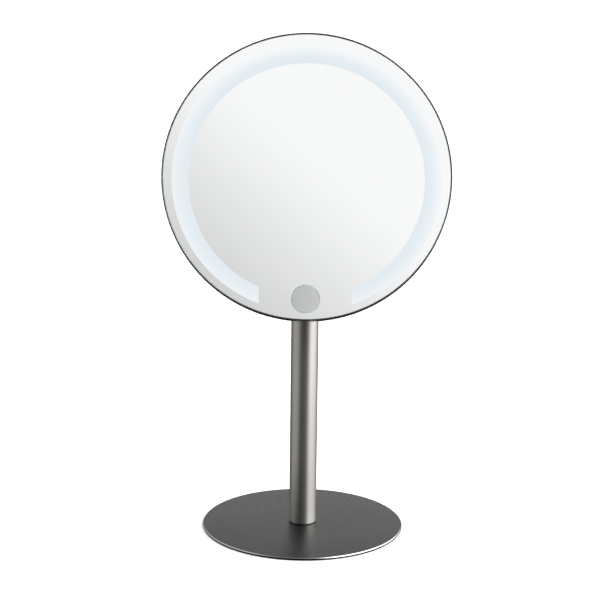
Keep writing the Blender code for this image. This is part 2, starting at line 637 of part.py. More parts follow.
def make_chassis(cover_screws, lead_hole):
    inner_wall = CHANNEL_INNER - 0.0016
    wall_outer = RIM_RADIUS - RIM_WALL - GAP
    step_inner = RIM_FLANGE_INNER - GAP
    profile = [
        (0.0, -PLATE_FRONT), (CHANNEL_INNER, -PLATE_FRONT), (CHANNEL_INNER, -CHANNEL_FLOOR),
        (CHANNEL_OUTER, -CHANNEL_FLOOR), (CHANNEL_OUTER, -CHASSIS_FRONT), (wall_outer, -CHASSIS_FRONT),
        (wall_outer, -RIM_DEPTH + RIM_FLANGE + GAP), (step_inner, -RIM_DEPTH + RIM_FLANGE + GAP),
        (step_inner, -CHASSIS_BACK), (inner_wall, -CHASSIS_BACK), (inner_wall, -PLATE_BACK),
        (0.0, -PLATE_BACK)]
    chassis = turned("chassis", "white_plastic", profile, RING_SEGMENTS, parent=HEAD)
    cover_bosses = cylinders("chassis_cover_bosses", None, 0.0032, -0.0110, -CHASSIS_BACK + 0.0002,
                             cover_screws, TINY_SEGMENTS, parent=HEAD)
    board_screws = board_screw_places()
    board_bosses = cylinders("chassis_board_bosses", None, 0.0025, -BOARD_FRONT + GAP,
                             -PLATE_BACK + 0.0002, board_screws, TINY_SEGMENTS, parent=HEAD)
    join(chassis, cover_bosses, board_bosses)
    cover_pilots = cylinders("chassis_cover_pilots", None, 0.0016, -0.0120, -CHASSIS_BACK - 0.0002,
                             cover_screws, TINY_SEGMENTS, parent=HEAD)
    board_pilots = cylinders("chassis_board_pilots", None, 0.0012, -0.0120, -PLATE_BACK - 0.0002,
                             board_screws, TINY_SEGMENTS, parent=HEAD)
    pocket = cylinders("chassis_button_pocket", None, BUTTON_POCKET_RADIUS, -CHANNEL_FLOOR, 0.0,
                       [BUTTON_CENTRE], POST_SEGMENTS, parent=HEAD)
    switch_window = plate("chassis_switch_window", None,
                          rounded_rectangle(0.0070, 0.0070, 0.0005, BUTTON_CENTRE), -0.0100, -0.0060,
                          parent=HEAD)
    lead_opening = cylinders("chassis_lead_opening", None, 0.0022, -0.0100, -0.0060, [lead_hole],
                             TINY_SEGMENTS, parent=HEAD)
    cut(chassis, cover_pilots, board_pilots, pocket, switch_window, lead_opening)


def cover_depth(radius):
    """Depth of the rear cover's outer face outside its flat middle, curving forward to the rim."""
    part = (radius - COVER_FLAT_RADIUS) / (COVER_EDGE_RADIUS - COVER_FLAT_RADIUS)
    return COVER_BACK - (COVER_BACK - COVER_FRONT) * part ** COVER_CURVE


def cover_radii(edge):
    """Radii from the cover's flat middle out to an edge, closer together towards the edge."""
    turns = [math.pi / 2 * i / COVER_STEPS for i in range(COVER_STEPS + 1)]
    return [COVER_FLAT_RADIUS + (edge - COVER_FLAT_RADIUS) * math.sin(turn) for turn in turns]


def make_rear_cover(cover_screws, bracket_holes):
    profile = [(0.0, -COVER_BACK + COVER_WALL)]
    profile += [(radius, -cover_depth(radius) + COVER_WALL)
                for radius in cover_radii(COVER_INNER_EDGE_RADIUS)[:-1]]
    profile += [(COVER_INNER_EDGE_RADIUS, -COVER_FRONT)]
    profile += [(radius, -cover_depth(radius)) for radius in reversed(cover_radii(COVER_EDGE_RADIUS))]
    profile += [(0.0, -COVER_BACK)]
    cover = turned("rear_cover", "charcoal_plastic", profile, WIDE_SEGMENTS, parent=HEAD)
    bosses = cylinders("cover_bosses", None, 0.0044, -0.0140, -0.0113, cover_screws, TINY_SEGMENTS,
                       parent=HEAD)
    join(cover, bosses)
    recesses = cylinders("cover_screw_recesses", None, 0.0032, -0.0200, -0.0132, cover_screws,
                         TINY_SEGMENTS, parent=HEAD)
    passages = cylinders("cover_screw_passages", None, 0.0017, -0.0200, -0.0100, cover_screws,
                         TINY_SEGMENTS, parent=HEAD)
    socket_window = plate("cover_socket_window", None,
                          rounded_rectangle(0.0098, 0.0042, 0.0020, SOCKET_CENTRE), -0.0200, -0.0150,
                          parent=HEAD)
    cut(cover, recesses, passages, socket_window, bracket_holes)
    for number, centre in enumerate(cover_screws, 1):
        pan_screw("cover_screw_%d" % number, centre, COVER_SCREW_SEAT, COVER_SCREW, COVER_SCREW_TIP)


# ---- Head: electronics -------------------------------------------------------------------------------

def board_screw_places():
    return [(BOARD_CENTRE.x + side * BOARD_SCREW_X, BOARD_CENTRE.y) for side in (-1, 1)]


def make_board():
    outline = rounded_rectangle(*BOARD_SIZE, 0.0015, BOARD_CENTRE)
    board_back = BOARD_FRONT + BOARD_THICKNESS
    board = plate("control_board", "board_green", outline, -board_back, -BOARD_FRONT, parent=HEAD)
    holes = cylinders("board_holes", None, 0.0012, -0.0120, -0.0080, board_screw_places(), TINY_SEGMENTS,
                      parent=HEAD)
    cut(board, holes)
    for number, centre in enumerate(board_screw_places(), 1):
        pan_screw("board_screw_%d" % number, centre, board_back + GAP, BOARD_SCREW, BOARD_SCREW_TIP)

    front = board_back + GAP
    board_top = BOARD_CENTRE.y + BOARD_SIZE[1] / 2
    chip_y = BOARD_CENTRE.y - 0.002
    block("control_chip", "chip_black", (-0.0105, chip_y - 0.0035, -front - 0.0012),
          (-0.0035, chip_y + 0.0035, -front), parent=HEAD)
    block("driver_inductor", "chip_black", (0.0085, chip_y - 0.003, -front - 0.0030),
          (0.0145, chip_y + 0.003, -front), bevel=0.0006, parent=HEAD)
    for name, x in (("battery_connector", -0.0120), ("led_connector", 0.0120)):
        block(name, "nylon", (x - 0.0035, board_top - 0.0045, -front - 0.0034),
              (x + 0.0035, board_top - 0.0005, -front), parent=HEAD)

    shell_outline = rounded_rectangle(0.0090, 0.0034, 0.0016, SOCKET_CENTRE)
    mouth_outline = rounded_rectangle(0.0083, 0.0027, 0.0012, SOCKET_CENTRE)
    shell_back = COVER_BACK + 0.0001
    socket = plate("charging_socket", "zinc_steel", shell_outline, -shell_back, -front, parent=HEAD)
    mouth = plate("socket_mouth", None, mouth_outline, -shell_back - 0.001, -shell_back + 0.0055,
                  parent=HEAD)
    x, y = SOCKET_CENTRE
    tongue = block("socket_tongue", None, (x - 0.0033, y - 0.00035, -shell_back + 0.0010),
                   (x + 0.0033, y + 0.00035, -shell_back + 0.0060), parent=HEAD)
    cut(socket, mouth)
    join(socket, tongue)


def make_battery():
    pad_front = PLATE_BACK + GAP
    pad_back = pad_front + 0.0003
    plate("battery_pad", "foam", rounded_rectangle(0.0500, 0.0300, 0.0010, BATTERY_CENTRE),
          -pad_back, -pad_front, parent=HEAD)
    front = pad_back + GAP
    plate("battery", "battery_wrap", rounded_rectangle(*BATTERY_SIZE, 0.0025, BATTERY_CENTRE),
          -front - BATTERY_THICKNESS, -front, parent=HEAD)


def make_leads(lead_hole):
    """Internal wires, each pair side by side."""
    connector_y = BOARD_CENTRE.y + BOARD_SIZE[1] / 2 - 0.0005 + GAP
    battery_y = BATTERY_CENTRE.y - BATTERY_SIZE[1] / 2 - GAP
    for finish, shift in (("lead_red", 0.0), ("lead_black", 0.0022)):
        x = -0.0131 + shift
        route = [(x, connector_y, 0.0123), (x, connector_y + 0.006, 0.0116), (x + 0.004, -0.012, 0.0100),
                 (x + 0.006, 0.002, 0.0100), (x + 0.006, battery_y, 0.0100)]
        lead("battery_" + finish, finish, route, parent=HEAD)
    hole_x, hole_y = lead_hole
    # Each point is x, y, depth and the side of it on which the outer lead runs.
    inner_lead = [
        (0.0131, connector_y, 0.0123, (-1.0, 0.0)), (0.0135, connector_y + 0.005, 0.0118, (-0.9, 0.4)),
        (0.0225, -0.0220, 0.0105, (0.2, 1.0)), (0.0325, -0.0340, 0.0100, (1.0, 0.2)),
        (0.0325, -0.0560, 0.0102, (1.0, 0.0)), (0.0290, -0.0720, 0.0106, (1.0, 0.0)),
        (hole_x - 0.0010, hole_y + 0.0030, 0.0106, (0.9, 0.0)),
        (hole_x - 0.0010, hole_y, 0.0085, (0.9, 0.0)),
        (hole_x - 0.0010, hole_y - 0.0012, 0.0060, (0.9, 0.0))]
    for finish, spread in (("lead_red", 0.0), ("lead_black", 0.0022)):
        route = [(x + spread * side[0], y + spread * side[1], depth) for x, y, depth, side in inner_lead]
        lead("led_" + finish, finish, route, parent=HEAD)
    board_bottom = BOARD_CENTRE.y - BOARD_SIZE[1] / 2 - GAP
    switch_top = -BUTTON_DROP + SWITCH_BOARD_SIZE[1] / 2 + GAP
    for number, x in ((1, -0.0013), (2, 0.0013)):
        route = [(x, board_bottom, 0.0096), (x, board_bottom - 0.006, 0.0100),
                 (x, switch_top + 0.008, 0.0102), (x, switch_top, 0.0095)]
        lead("switch_lead_%d" % number, "lead_black", route, parent=HEAD)


# ---- Button ---------------------------------------------------------------------------------------

def make_button():
    """Round cap through the glass, pressing a tact switch. Its heights are depths below the rim edge."""
    cap_front = 0.0001
    flange_front = TAPE_FRONT
    flange_back = flange_front + 0.0010
    edge = 0.00025
    profile = [
        (0.0, -cap_front), (BUTTON_RADIUS - edge, -cap_front), (BUTTON_RADIUS, -cap_front - edge),
        (BUTTON_RADIUS, -flange_front), (BUTTON_FLANGE_RADIUS, -flange_front),
        (BUTTON_FLANGE_RADIUS, -flange_back), (0.0, -flange_back)]
    turned("button_cap", "grey_plastic", profile, POST_SEGMENTS, parent=BUTTON_AXIS)

    plunger_front = flange_back + GAP
    switch_front = plunger_front + BUTTON_TRAVEL + GAP
    plunger_back = switch_front + 0.0006
    cylinders("switch_plunger", "chip_black", PLUNGER_RADIUS, -plunger_back, -plunger_front,
              segments=TINY_SEGMENTS, parent=BUTTON_AXIS)
    switch_back = SWITCH_BOARD_FRONT - GAP
    switch = block("tact_switch", "chip_black", (-0.0030, -0.0030, -switch_back),
                   (0.0030, 0.0030, -switch_front), parent=BUTTON_AXIS)
    well_bottom = plunger_back + BUTTON_TRAVEL + THREAD_GAP
    well = cylinders("switch_well", None, PLUNGER_RADIUS + THREAD_GAP, -well_bottom, 0.0,
                     segments=TINY_SEGMENTS, parent=BUTTON_AXIS)
    cut(switch, well)
    plate("switch_board", "board_green", rounded_rectangle(*SWITCH_BOARD_SIZE, 0.0010),
          -SWITCH_BOARD_FRONT - SWITCH_BOARD_THICKNESS, -SWITCH_BOARD_FRONT, parent=BUTTON_AXIS)


def main():
    cover_screws = round_places(COVER_SCREW_CIRCLE, 4, 45.0)
    lead_hole = (0.0270, -0.0870)
    make_base()
    make_base_fixings()
    make_post()
    make_yoke()
    make_tilt_fixings()
    bracket_holes = make_bracket()
    make_rim_and_glass()
    make_light()
    make_chassis(cover_screws, lead_hole)
    make_rear_cover(cover_screws, bracket_holes)
    make_board()
    make_battery()
    make_leads(lead_hole)
    make_button()


main()
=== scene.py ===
"""Looks of the lighted vanity mirror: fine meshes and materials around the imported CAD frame."""
import json
import math

import bmesh
import bpy
from mathutils import Matrix, Vector


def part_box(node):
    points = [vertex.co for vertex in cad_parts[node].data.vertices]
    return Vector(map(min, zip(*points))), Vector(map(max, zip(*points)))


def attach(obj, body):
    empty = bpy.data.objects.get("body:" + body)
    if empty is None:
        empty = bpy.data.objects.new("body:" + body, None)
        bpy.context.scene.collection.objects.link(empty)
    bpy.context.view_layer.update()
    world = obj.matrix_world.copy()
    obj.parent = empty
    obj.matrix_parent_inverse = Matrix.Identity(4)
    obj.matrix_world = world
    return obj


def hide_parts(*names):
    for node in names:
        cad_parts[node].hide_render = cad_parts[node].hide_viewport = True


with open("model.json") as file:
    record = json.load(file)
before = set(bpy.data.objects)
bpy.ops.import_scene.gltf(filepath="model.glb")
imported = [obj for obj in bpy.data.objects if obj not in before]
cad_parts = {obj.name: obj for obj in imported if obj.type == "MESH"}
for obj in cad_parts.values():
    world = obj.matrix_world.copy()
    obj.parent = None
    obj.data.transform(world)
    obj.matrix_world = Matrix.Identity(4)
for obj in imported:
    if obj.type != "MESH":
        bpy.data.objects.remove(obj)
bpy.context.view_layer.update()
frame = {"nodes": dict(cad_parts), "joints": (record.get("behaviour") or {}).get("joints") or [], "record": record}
NODES = frame["nodes"]


# ---- Places taken from the frame ---------------------------------------------------------------

def joint(name):
    return next(entry for entry in frame["joints"] if entry["name"] == name)


BASE_LOW, BASE_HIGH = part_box("base_plate")
POST_LOW, POST_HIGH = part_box("post_tube")
RIM_LOW, RIM_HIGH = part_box("rim_ring")
BASE_RADIUS = (BASE_HIGH.x - BASE_LOW.x) / 2
BASE_TOP = BASE_HIGH.z
POST_RADIUS = (POST_HIGH.x - POST_LOW.x) / 2
POST_AXIS = Vector(((POST_HIGH.x + POST_LOW.x) / 2, (POST_HIGH.y + POST_LOW.y) / 2, 0.0))
RIM_RADIUS = (RIM_HIGH.x - RIM_LOW.x) / 2
SWIVEL_POINT = Vector(joint("swivel")["pos_m"])
HINGE_POINT = Vector(joint("tilt")["pos_m"])
COVER_SCREWS = ["cover_screw_%d" % number for number in (1, 2, 3, 4)]
BRACKET_SCREWS = ["bracket_screw_%d" % number for number in (1, 2, 3)]

# The button's travel runs straight into the glass, so it gives the head's own axes.
OUT_OF_GLASS = -Vector(joint("button_press")["axis"]).normalized()
ACROSS_GLASS = Vector((1.0, 0.0, 0.0))
UP_GLASS = OUT_OF_GLASS.cross(ACROSS_GLASS)
DOWN = Vector((0.0, 0.0, -1.0))


def frame_matrix(origin, x_axis, y_axis, z_axis):
    matrix = Matrix((x_axis, y_axis, z_axis)).transposed().to_4x4()
    matrix.translation = origin
    return matrix


def reach(node, direction):
    """How far a CAD node's mesh reaches along a direction."""
    return max(vertex.co.dot(direction) for vertex in NODES[node].data.vertices)


RIM_FRONT = reach("rim_ring", OUT_OF_GLASS)
FACE_CENTRE = HINGE_POINT + OUT_OF_GLASS * (RIM_FRONT - HINGE_POINT.dot(OUT_OF_GLASS))
STAND = Matrix.Identity(4)
POST = Matrix.Translation(POST_AXIS)
SWIVEL = Matrix.Translation(SWIVEL_POINT)
HEAD = frame_matrix(FACE_CENTRE, ACROSS_GLASS, UP_GLASS, OUT_OF_GLASS)

# Both lie along the hinge, with X towards the fork's foot in one and towards the glass in the other.
FORK = frame_matrix(HINGE_POINT, DOWN, ACROSS_GLASS.cross(DOWN), ACROSS_GLASS)
LUG = frame_matrix(HINGE_POINT, OUT_OF_GLASS, ACROSS_GLASS.cross(OUT_OF_GLASS), ACROSS_GLASS)


def points_of(node, matrix):
    """A CAD node's mesh points in a matrix's own space."""
    inverse = matrix.inverted()
    return [inverse @ vertex.co for vertex in NODES[node].data.vertices]


def extent(node, matrix):
    """Centre, radius, low end and high end of a turned CAD node along a matrix's Z."""
    points = points_of(node, matrix)
    xs = [point.x for point in points]
    ys = [point.y for point in points]
    zs = [point.z for point in points]
    centre = Vector(((min(xs) + max(xs)) / 2, (min(ys) + max(ys)) / 2, 0.0))
    return centre, (max(xs) - min(xs)) / 2, min(zs), max(zs)


def places(nodes, matrix):
    """Where turned CAD nodes stand in a matrix's X and Y."""
    return [tuple(extent(node, matrix)[0].xy) for node in nodes]


def end_radius(node, matrix):
    """Radius of a CAD node's round end, which points against a matrix's X."""
    return -min(point.x for point in points_of(node, matrix))


def depth_of(node, front=True):
    """Depth of a head node's front or back behind the rim's front edge."""
    if front:
        return RIM_FRONT - reach(node, OUT_OF_GLASS)
    return RIM_FRONT + reach(node, -OUT_OF_GLASS)


def button_place():
    """Centre of the button in the head's own X and Y."""
    low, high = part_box("button_cap")
    return (0.0, (HEAD.inverted() @ ((low + high) / 2)).y)


# ---- Mesh helpers ------------------------------------------------------------------------------

SHARP_ANGLE = math.radians(35.0)
SOFTENED_ANGLE = math.radians(40.0)
CUT_PAST = 0.001

# A face counts as level, or at least as sloping, from this Z of its normal.
LEVEL = 0.95
SLOPING = 0.4


def add_object(name, data, matrix):
    obj = bpy.data.objects.new(name, data)
    bpy.context.scene.collection.objects.link(obj)
    obj.matrix_world = matrix
    return obj


def shade(mesh):
    mesh.shade_smooth()
    mesh.set_sharp_from_angle(angle=SHARP_ANGLE)


def link_mesh(name, mesh, matrix, material_key):
    shade(mesh)
    mesh.materials.clear()
    mesh.materials.append(MATERIALS[material_key])
    return add_object(name, mesh, matrix)


def mesh_from(bm, name):
    mesh = bpy.data.meshes.new(name)
    bm.to_mesh(mesh)
    bm.free()
    return mesh


def filleted(corners, steps):
    """Profile points from (radius, height, fillet) corners, with each fillet as an arc."""
    points = []
    count = len(corners)
    for i, (radius, height, fillet) in enumerate(corners):
        here = Vector((radius, height))
        if fillet <= 0.0 or (i in (0, count - 1) and radius == 0.0):
            points.append(here)
            continue
        before = (Vector(corners[i - 1][:2]) - here).normalized()
        after = (Vector(corners[(i + 1) % count][:2]) - here).normalized()
        half_angle = before.angle(after) / 2
        tangent = fillet / math.tan(half_angle)
        centre = here + (before + after).normalized() * (fillet / math.sin(half_angle))
        start = here + before * tangent - centre
        end = here + after * tangent - centre
        sweep = start.angle_signed(end)
        for step in range(steps + 1):
            turned = start.copy()
            turned.rotate(Matrix.Rotation(-sweep * step / steps, 2))
            points.append(centre + turned)
    return points


def lathe_mesh(name, corners, segments, ring=False, steps=4):
    """Turn a filleted profile about Z. Its corners run down the outer side."""
    axis_width = 1e-7
    angles = [2 * math.pi * i / segments for i in range(segments)]
    bm = bmesh.new()
    rows = []
    for point in filleted(corners, steps):
        if point.x < axis_width:
            rows.append([bm.verts.new((0.0, 0.0, point.y))])
            continue
        rows.append([bm.verts.new((point.x * math.cos(a), point.x * math.sin(a), point.y)) for a in angles])
    pairs = list(zip(rows, rows[1:]))
    if ring:
        pairs.append((rows[-1], rows[0]))
    for upper, lower in pairs:
        for i in range(segments):
            j = (i + 1) % segments
            corners_of_face = [upper[i % len(upper)], lower[i % len(lower)],
                               lower[j % len(lower)], upper[j % len(upper)]]
            face = list(dict.fromkeys(corners_of_face))
            if len(face) > 2:
                bm.faces.new(face)
    bmesh.ops.recalc_face_normals(bm, faces=bm.faces)
    return mesh_from(bm, name)


def lathe(name, corners, segments, matrix, material_key, ring=False, steps=4):
    return link_mesh(name, lathe_mesh(name, corners, segments, ring, steps), matrix, material_key)


def cylinders_mesh(radius, low, high, centres, segments=64, top_radius=None):
    """Cylinders along Z, or cones where the top has a radius of its own."""
    bm = bmesh.new()
    for x, y in centres:
        matrix = Matrix.Translation((x, y, (low + high) / 2))
        bmesh.ops.create_cone(bm, cap_ends=True, segments=segments, radius1=radius,
                              radius2=radius if top_radius is None else top_radius,
                              depth=high - low, matrix=matrix)
    return mesh_from(bm, "cylinders")


def raise_faces(bm, height):
    """Extrude all faces along Z into a closed solid."""
    raised = bmesh.ops.extrude_face_region(bm, geom=list(bm.faces))
    moved = [item for item in raised["geom"] if isinstance(item, bmesh.types.BMVert)]
    bmesh.ops.translate(bm, vec=(0.0, 0.0, height), verts=moved)
    bmesh.ops.recalc_face_normals(bm, faces=bm.faces)


def prism_mesh(outline, low, high):
    """An outline in X and Y, extruded from low to high."""
    bm = bmesh.new()
    bm.faces.new([bm.verts.new((x, y, low)) for x, y in outline])
    raise_faces(bm, high - low)
    return mesh_from(bm, "prism")


def rounded_outline(width, height, radius, centre=(0.0, 0.0), steps=8):
    points = []
    for corner, (side_x, side_y) in enumerate(((1, 1), (-1, 1), (-1, -1), (1, -1))):
        middle = (centre[0] + side_x * (width / 2 - radius), centre[1] + side_y * (height / 2 - radius))
        for step in range(steps + 1):
            angle = math.pi / 2 * (corner + step / steps)
            points.append((middle[0] + radius * math.cos(angle), middle[1] + radius * math.sin(angle)))
    return points


def eye_outline(radius, length, steps=32):
    """Round at the origin and straight-sided towards +X."""
    angles = [math.pi / 2 + math.pi * step / steps for step in range(steps + 1)]
    round_end = [(radius * math.cos(a), radius * math.sin(a)) for a in angles]
    return round_end + [(length, -radius), (length, radius)]


def hexagon(corner_radius):
    angles = [math.radians(60.0 * i) for i in range(6)]
    return [(corner_radius * math.cos(a), corner_radius * math.sin(a)) for a in angles]


def keep_evaluated(obj):
    """Turn the object's modifiers into its mesh."""
    bpy.context.view_layer.update()
    evaluated = obj.evaluated_get(bpy.context.evaluated_depsgraph_get())
    mesh = bpy.data.meshes.new_from_object(evaluated)
    obj.modifiers.clear()
    obj.data = mesh
    shade(mesh)


def combine(obj, operation, *meshes, matrix=None):
    """Cut meshes out of the object, join them to it, or keep what they share with it."""
    others = []
    for mesh in meshes:
        other = add_object("other", mesh, obj.matrix_world if matrix is None else matrix)
        modifier = obj.modifiers.new("Combine", "BOOLEAN")
        modifier.operation = operation
        modifier.object = other
        modifier.solver = "EXACT"
        others.append(other)
    keep_evaluated(obj)
    for other in others:
        bpy.data.objects.remove(other)


def softened_mesh(obj, width):
    """Round the object's sharp edges and keep only its mesh."""
    bevel = obj.modifiers.new("Soften", "BEVEL")
    bevel.width = width
    bevel.segments = 3
    bevel.limit_method = "ANGLE"
    bevel.angle_limit = SOFTENED_ANGLE
    keep_evaluated(obj)
    mesh = obj.data
    bpy.data.objects.remove(obj)
    return mesh


def paint(obj, material_key, chosen):
    """Give another material to the chosen faces: the glass's edge, and lit and shaded copies of steel that are
    painted light and shade.
    """
    obj.data.materials.append(MATERIALS[material_key])
    for polygon in obj.data.polygons:
        if chosen(polygon):
            polygon.material_index = len(obj.data.materials) - 1


# ---- Materials ---------------------------------------------------------------------------------

class Material:
    """Small helper around a material's node tree."""

    def __init__(self, name, colour, roughness, metallic=0.0):
        self.colour = colour
        self.roughness = roughness
        self.material = bpy.data.materials.new(name)
        self.material.use_nodes = True
        self.tree = self.material.node_tree
        self.shader = self.tree.nodes["Principled BSDF"]
        self.shader.inputs["Base Color"].default_value = (*colour, 1.0)
        self.shader.inputs["Roughness"].default_value = roughness
        self.shader.inputs["Metallic"].default_value = metallic

    def node(self, kind, **settings):
        node = self.tree.nodes.new(kind)
        for key, value in settings.items():
            setattr(node, key, value)
        return node

    def link(self, output, socket):
        self.tree.links.new(output, socket)

    def noise(self, scale, stretch=(1.0, 1.0, 1.0), detail=3.0):
        """Noise in the object's own space, stretched along its axes."""
        coordinates = self.node("ShaderNodeTexCoord")
        mapping = self.node("ShaderNodeMapping")
        mapping.inputs["Scale"].default_value = stretch
        texture = self.node("ShaderNodeTexNoise")
        texture.inputs["Scale"].default_value = scale
        texture.inputs["Detail"].default_value = detail
        self.link(coordinates.outputs["Object"], mapping.inputs["Vector"])
        self.link(mapping.outputs["Vector"], texture.inputs["Vector"])
        return texture.outputs["Fac"]

    def spread(self, factor, low, high, start=0.3, end=0.7):
        """Map a factor from start..end to low..high."""
        mapped = self.node("ShaderNodeMapRange")
        mapped.inputs["From Min"].default_value = start
        mapped.inputs["From Max"].default_value = end
        mapped.inputs["To Min"].default_value = low
        mapped.inputs["To Max"].default_value = high
        self.link(factor, mapped.inputs["Value"])
        return mapped.outputs["Result"]

    def mix(self, factor, colour_a, colour_b):
        mixed = self.node("ShaderNodeMix", data_type="RGBA")
        mixed.inputs["A"].default_value = (*colour_a, 1.0)
        mixed.inputs["B"].default_value = (*colour_b, 1.0)
        self.link(factor, mixed.inputs["Factor"])
        return mixed.outputs["Result"]

    def vary(self, grain, roughness_share, clouds, colour_share):
        """Fine grain varies the roughness and slow clouds the colour, by a share either way."""
        smoother = self.roughness * (1.0 - roughness_share)
        rougher = self.roughness * (1.0 + roughness_share)
        self.link(self.spread(grain, smoother, rougher), self.shader.inputs["Roughness"])
        darker = [channel * (1.0 - colour_share) for channel in self.colour]
        lighter = [min(1.0, channel * (1.0 + colour_share)) for channel in self.colour]
        tone = self.mix(self.spread(clouds, 0.0, 1.0), darker, lighter)
        self.link(tone, self.shader.inputs["Base Color"])

    def bump(self, factor, strength, distance):
        bump = self.node("ShaderNodeBump")
        bump.inputs["Strength"].default_value = strength
        bump.inputs["Distance"].default_value = distance
        self.link(factor, bump.inputs["Height"])
        self.link(bump.outputs["Normal"], self.shader.inputs["Normal"])


METAL_CLOUDS = 18.0
PLASTIC_CLOUDS = 25.0
POST_COLOUR = (0.53, 0.51, 0.48)
POST_ROUGHNESS = 0.40


def metal(name, colour, roughness, stretch, grain=0.10):
    """Brushed or satin metal: streaks of noise vary its roughness and normal."""
    made = Material(name, colour, roughness, 1.0)
    streaks = made.noise(1.0, stretch)
    made.vary(streaks, 0.15, made.noise(METAL_CLOUDS), 0.06)
    made.bump(streaks, grain, 0.00002)
    return made.material


def plastic(name, colour, roughness, grain_scale=2500.0, grain=0.15, variation=0.05):
    """Moulded plastic with a fine texture and slight colour variation."""
    made = Material(name, colour, roughness)
    texture = made.noise(grain_scale, detail=2.0)
    made.vary(texture, 0.12, made.noise(PLASTIC_CLOUDS), variation)
    made.bump(texture, grain, 0.00005)
    return made.material


def ringed_steel():
    """Steel tube ground around its length: fine rings draw its highlights out up and down."""
    made = Material("ringed_post_steel", POST_COLOUR, POST_ROUGHNESS, 1.0)
    made.shader.inputs["Anisotropic"].default_value = 0.85
    made.shader.inputs["Anisotropic Rotation"].default_value = 0.25
    rings = made.noise(1.0, (40.0, 40.0, 9000.0))
    made.vary(rings, 0.08, made.noise(METAL_CLOUDS), 0.03)
    made.bump(rings, 0.04, 0.00001)
    return made.material


def silvered_glass():
    """Mirror: near-perfect reflection, with the faintest wiping haze in its roughness."""
    made = Material("silvered_glass", (0.962, 0.966, 0.968), 0.01, 1.0)
    haze = made.noise(30.0, (1.0, 3.0, 1.0), 4.0)
    made.link(made.spread(haze, 0.004, 0.014), made.shader.inputs["Roughness"])
    tone = made.mix(made.spread(haze, 0.0, 1.0), (0.958, 0.963, 0.966), (0.966, 0.970, 0.970))
    made.link(tone, made.shader.inputs["Base Color"])
    return made.material


# The band's two edges are circles, each dropped a little below the middle of the glass.
BAND_INNER_RADIUS = 0.0828
BAND_INNER_DROP = 0.0026
BAND_OUTER_RADIUS = 0.0948
BAND_OUTER_DROP = 0.00135
BAND_GAP_HALF = 0.0324
BAND_INNER_LIGHT = (0.715, 0.790, 0.835)
BAND_OUTER_LIGHT = (0.820, 0.860, 0.880)
BAND_TOP_LIGHT = (0.890, 0.905, 0.920)
BAND_BODY = (0.03, 0.03, 0.03)
BAND_EASE = 1.6
BAND_BRIGHTER_TOWARDS = (0.35, 0.94, 0.0)
BAND_BRIGHTENING = (-0.02, 0.07)


def frosted_band():
    """Etched light band: pale blue towards the mirror, white towards the rim, whitest at the top."""
    made = Material("frosted_band", BAND_BODY, 0.55)
    coordinates = made.node("ShaderNodeTexCoord")
    shift = made.node("ShaderNodeVectorMath", operation="ADD")
    shift.inputs[1].default_value = (0.0, (BAND_INNER_DROP + BAND_OUTER_DROP) / 2, 0.0)
    flatten = made.node("ShaderNodeVectorMath", operation="MULTIPLY")
    flatten.inputs[1].default_value = (1.0, 1.0, 0.0)
    length = made.node("ShaderNodeVectorMath", operation="LENGTH")
    made.link(coordinates.outputs["Object"], shift.inputs[0])
    made.link(shift.outputs["Vector"], flatten.inputs[0])
    made.link(flatten.outputs["Vector"], length.inputs[0])
    across = made.spread(length.outputs["Value"], 0.0, 1.0, BAND_INNER_RADIUS, BAND_OUTER_RADIUS)
    late = made.node("ShaderNodeMath", operation="POWER")
    late.inputs[1].default_value = BAND_EASE
    made.link(across, late.inputs[0])
    upward = made.node("ShaderNodeVectorMath", operation="DOT_PRODUCT")
    upward.inputs[1].default_value = BAND_BRIGHTER_TOWARDS
    made.link(coordinates.outputs["Object"], upward.inputs[0])
    towards_top = made.spread(upward.outputs["Value"], 0.0, 1.0, *BAND_BRIGHTENING)
    glow = made.node("ShaderNodeMix", data_type="RGBA")
    glow.inputs["A"].default_value = (*BAND_INNER_LIGHT, 1.0)
    made.link(made.mix(towards_top, BAND_OUTER_LIGHT, BAND_TOP_LIGHT), glow.inputs["B"])
    made.link(late.outputs["Value"], glow.inputs["Factor"])
    frost = made.noise(900.0, detail=2.0)
    made.link(glow.outputs["Result"], made.shader.inputs["Emission Color"])
    made.shader.inputs["Emission Strength"].default_value = 1.0
    made.shader.inputs["Specular IOR Level"].default_value = 0.1
    made.link(made.spread(frost, 0.5, 0.6), made.shader.inputs["Roughness"])
    made.bump(frost, 0.1, 0.00002)
    return made.material


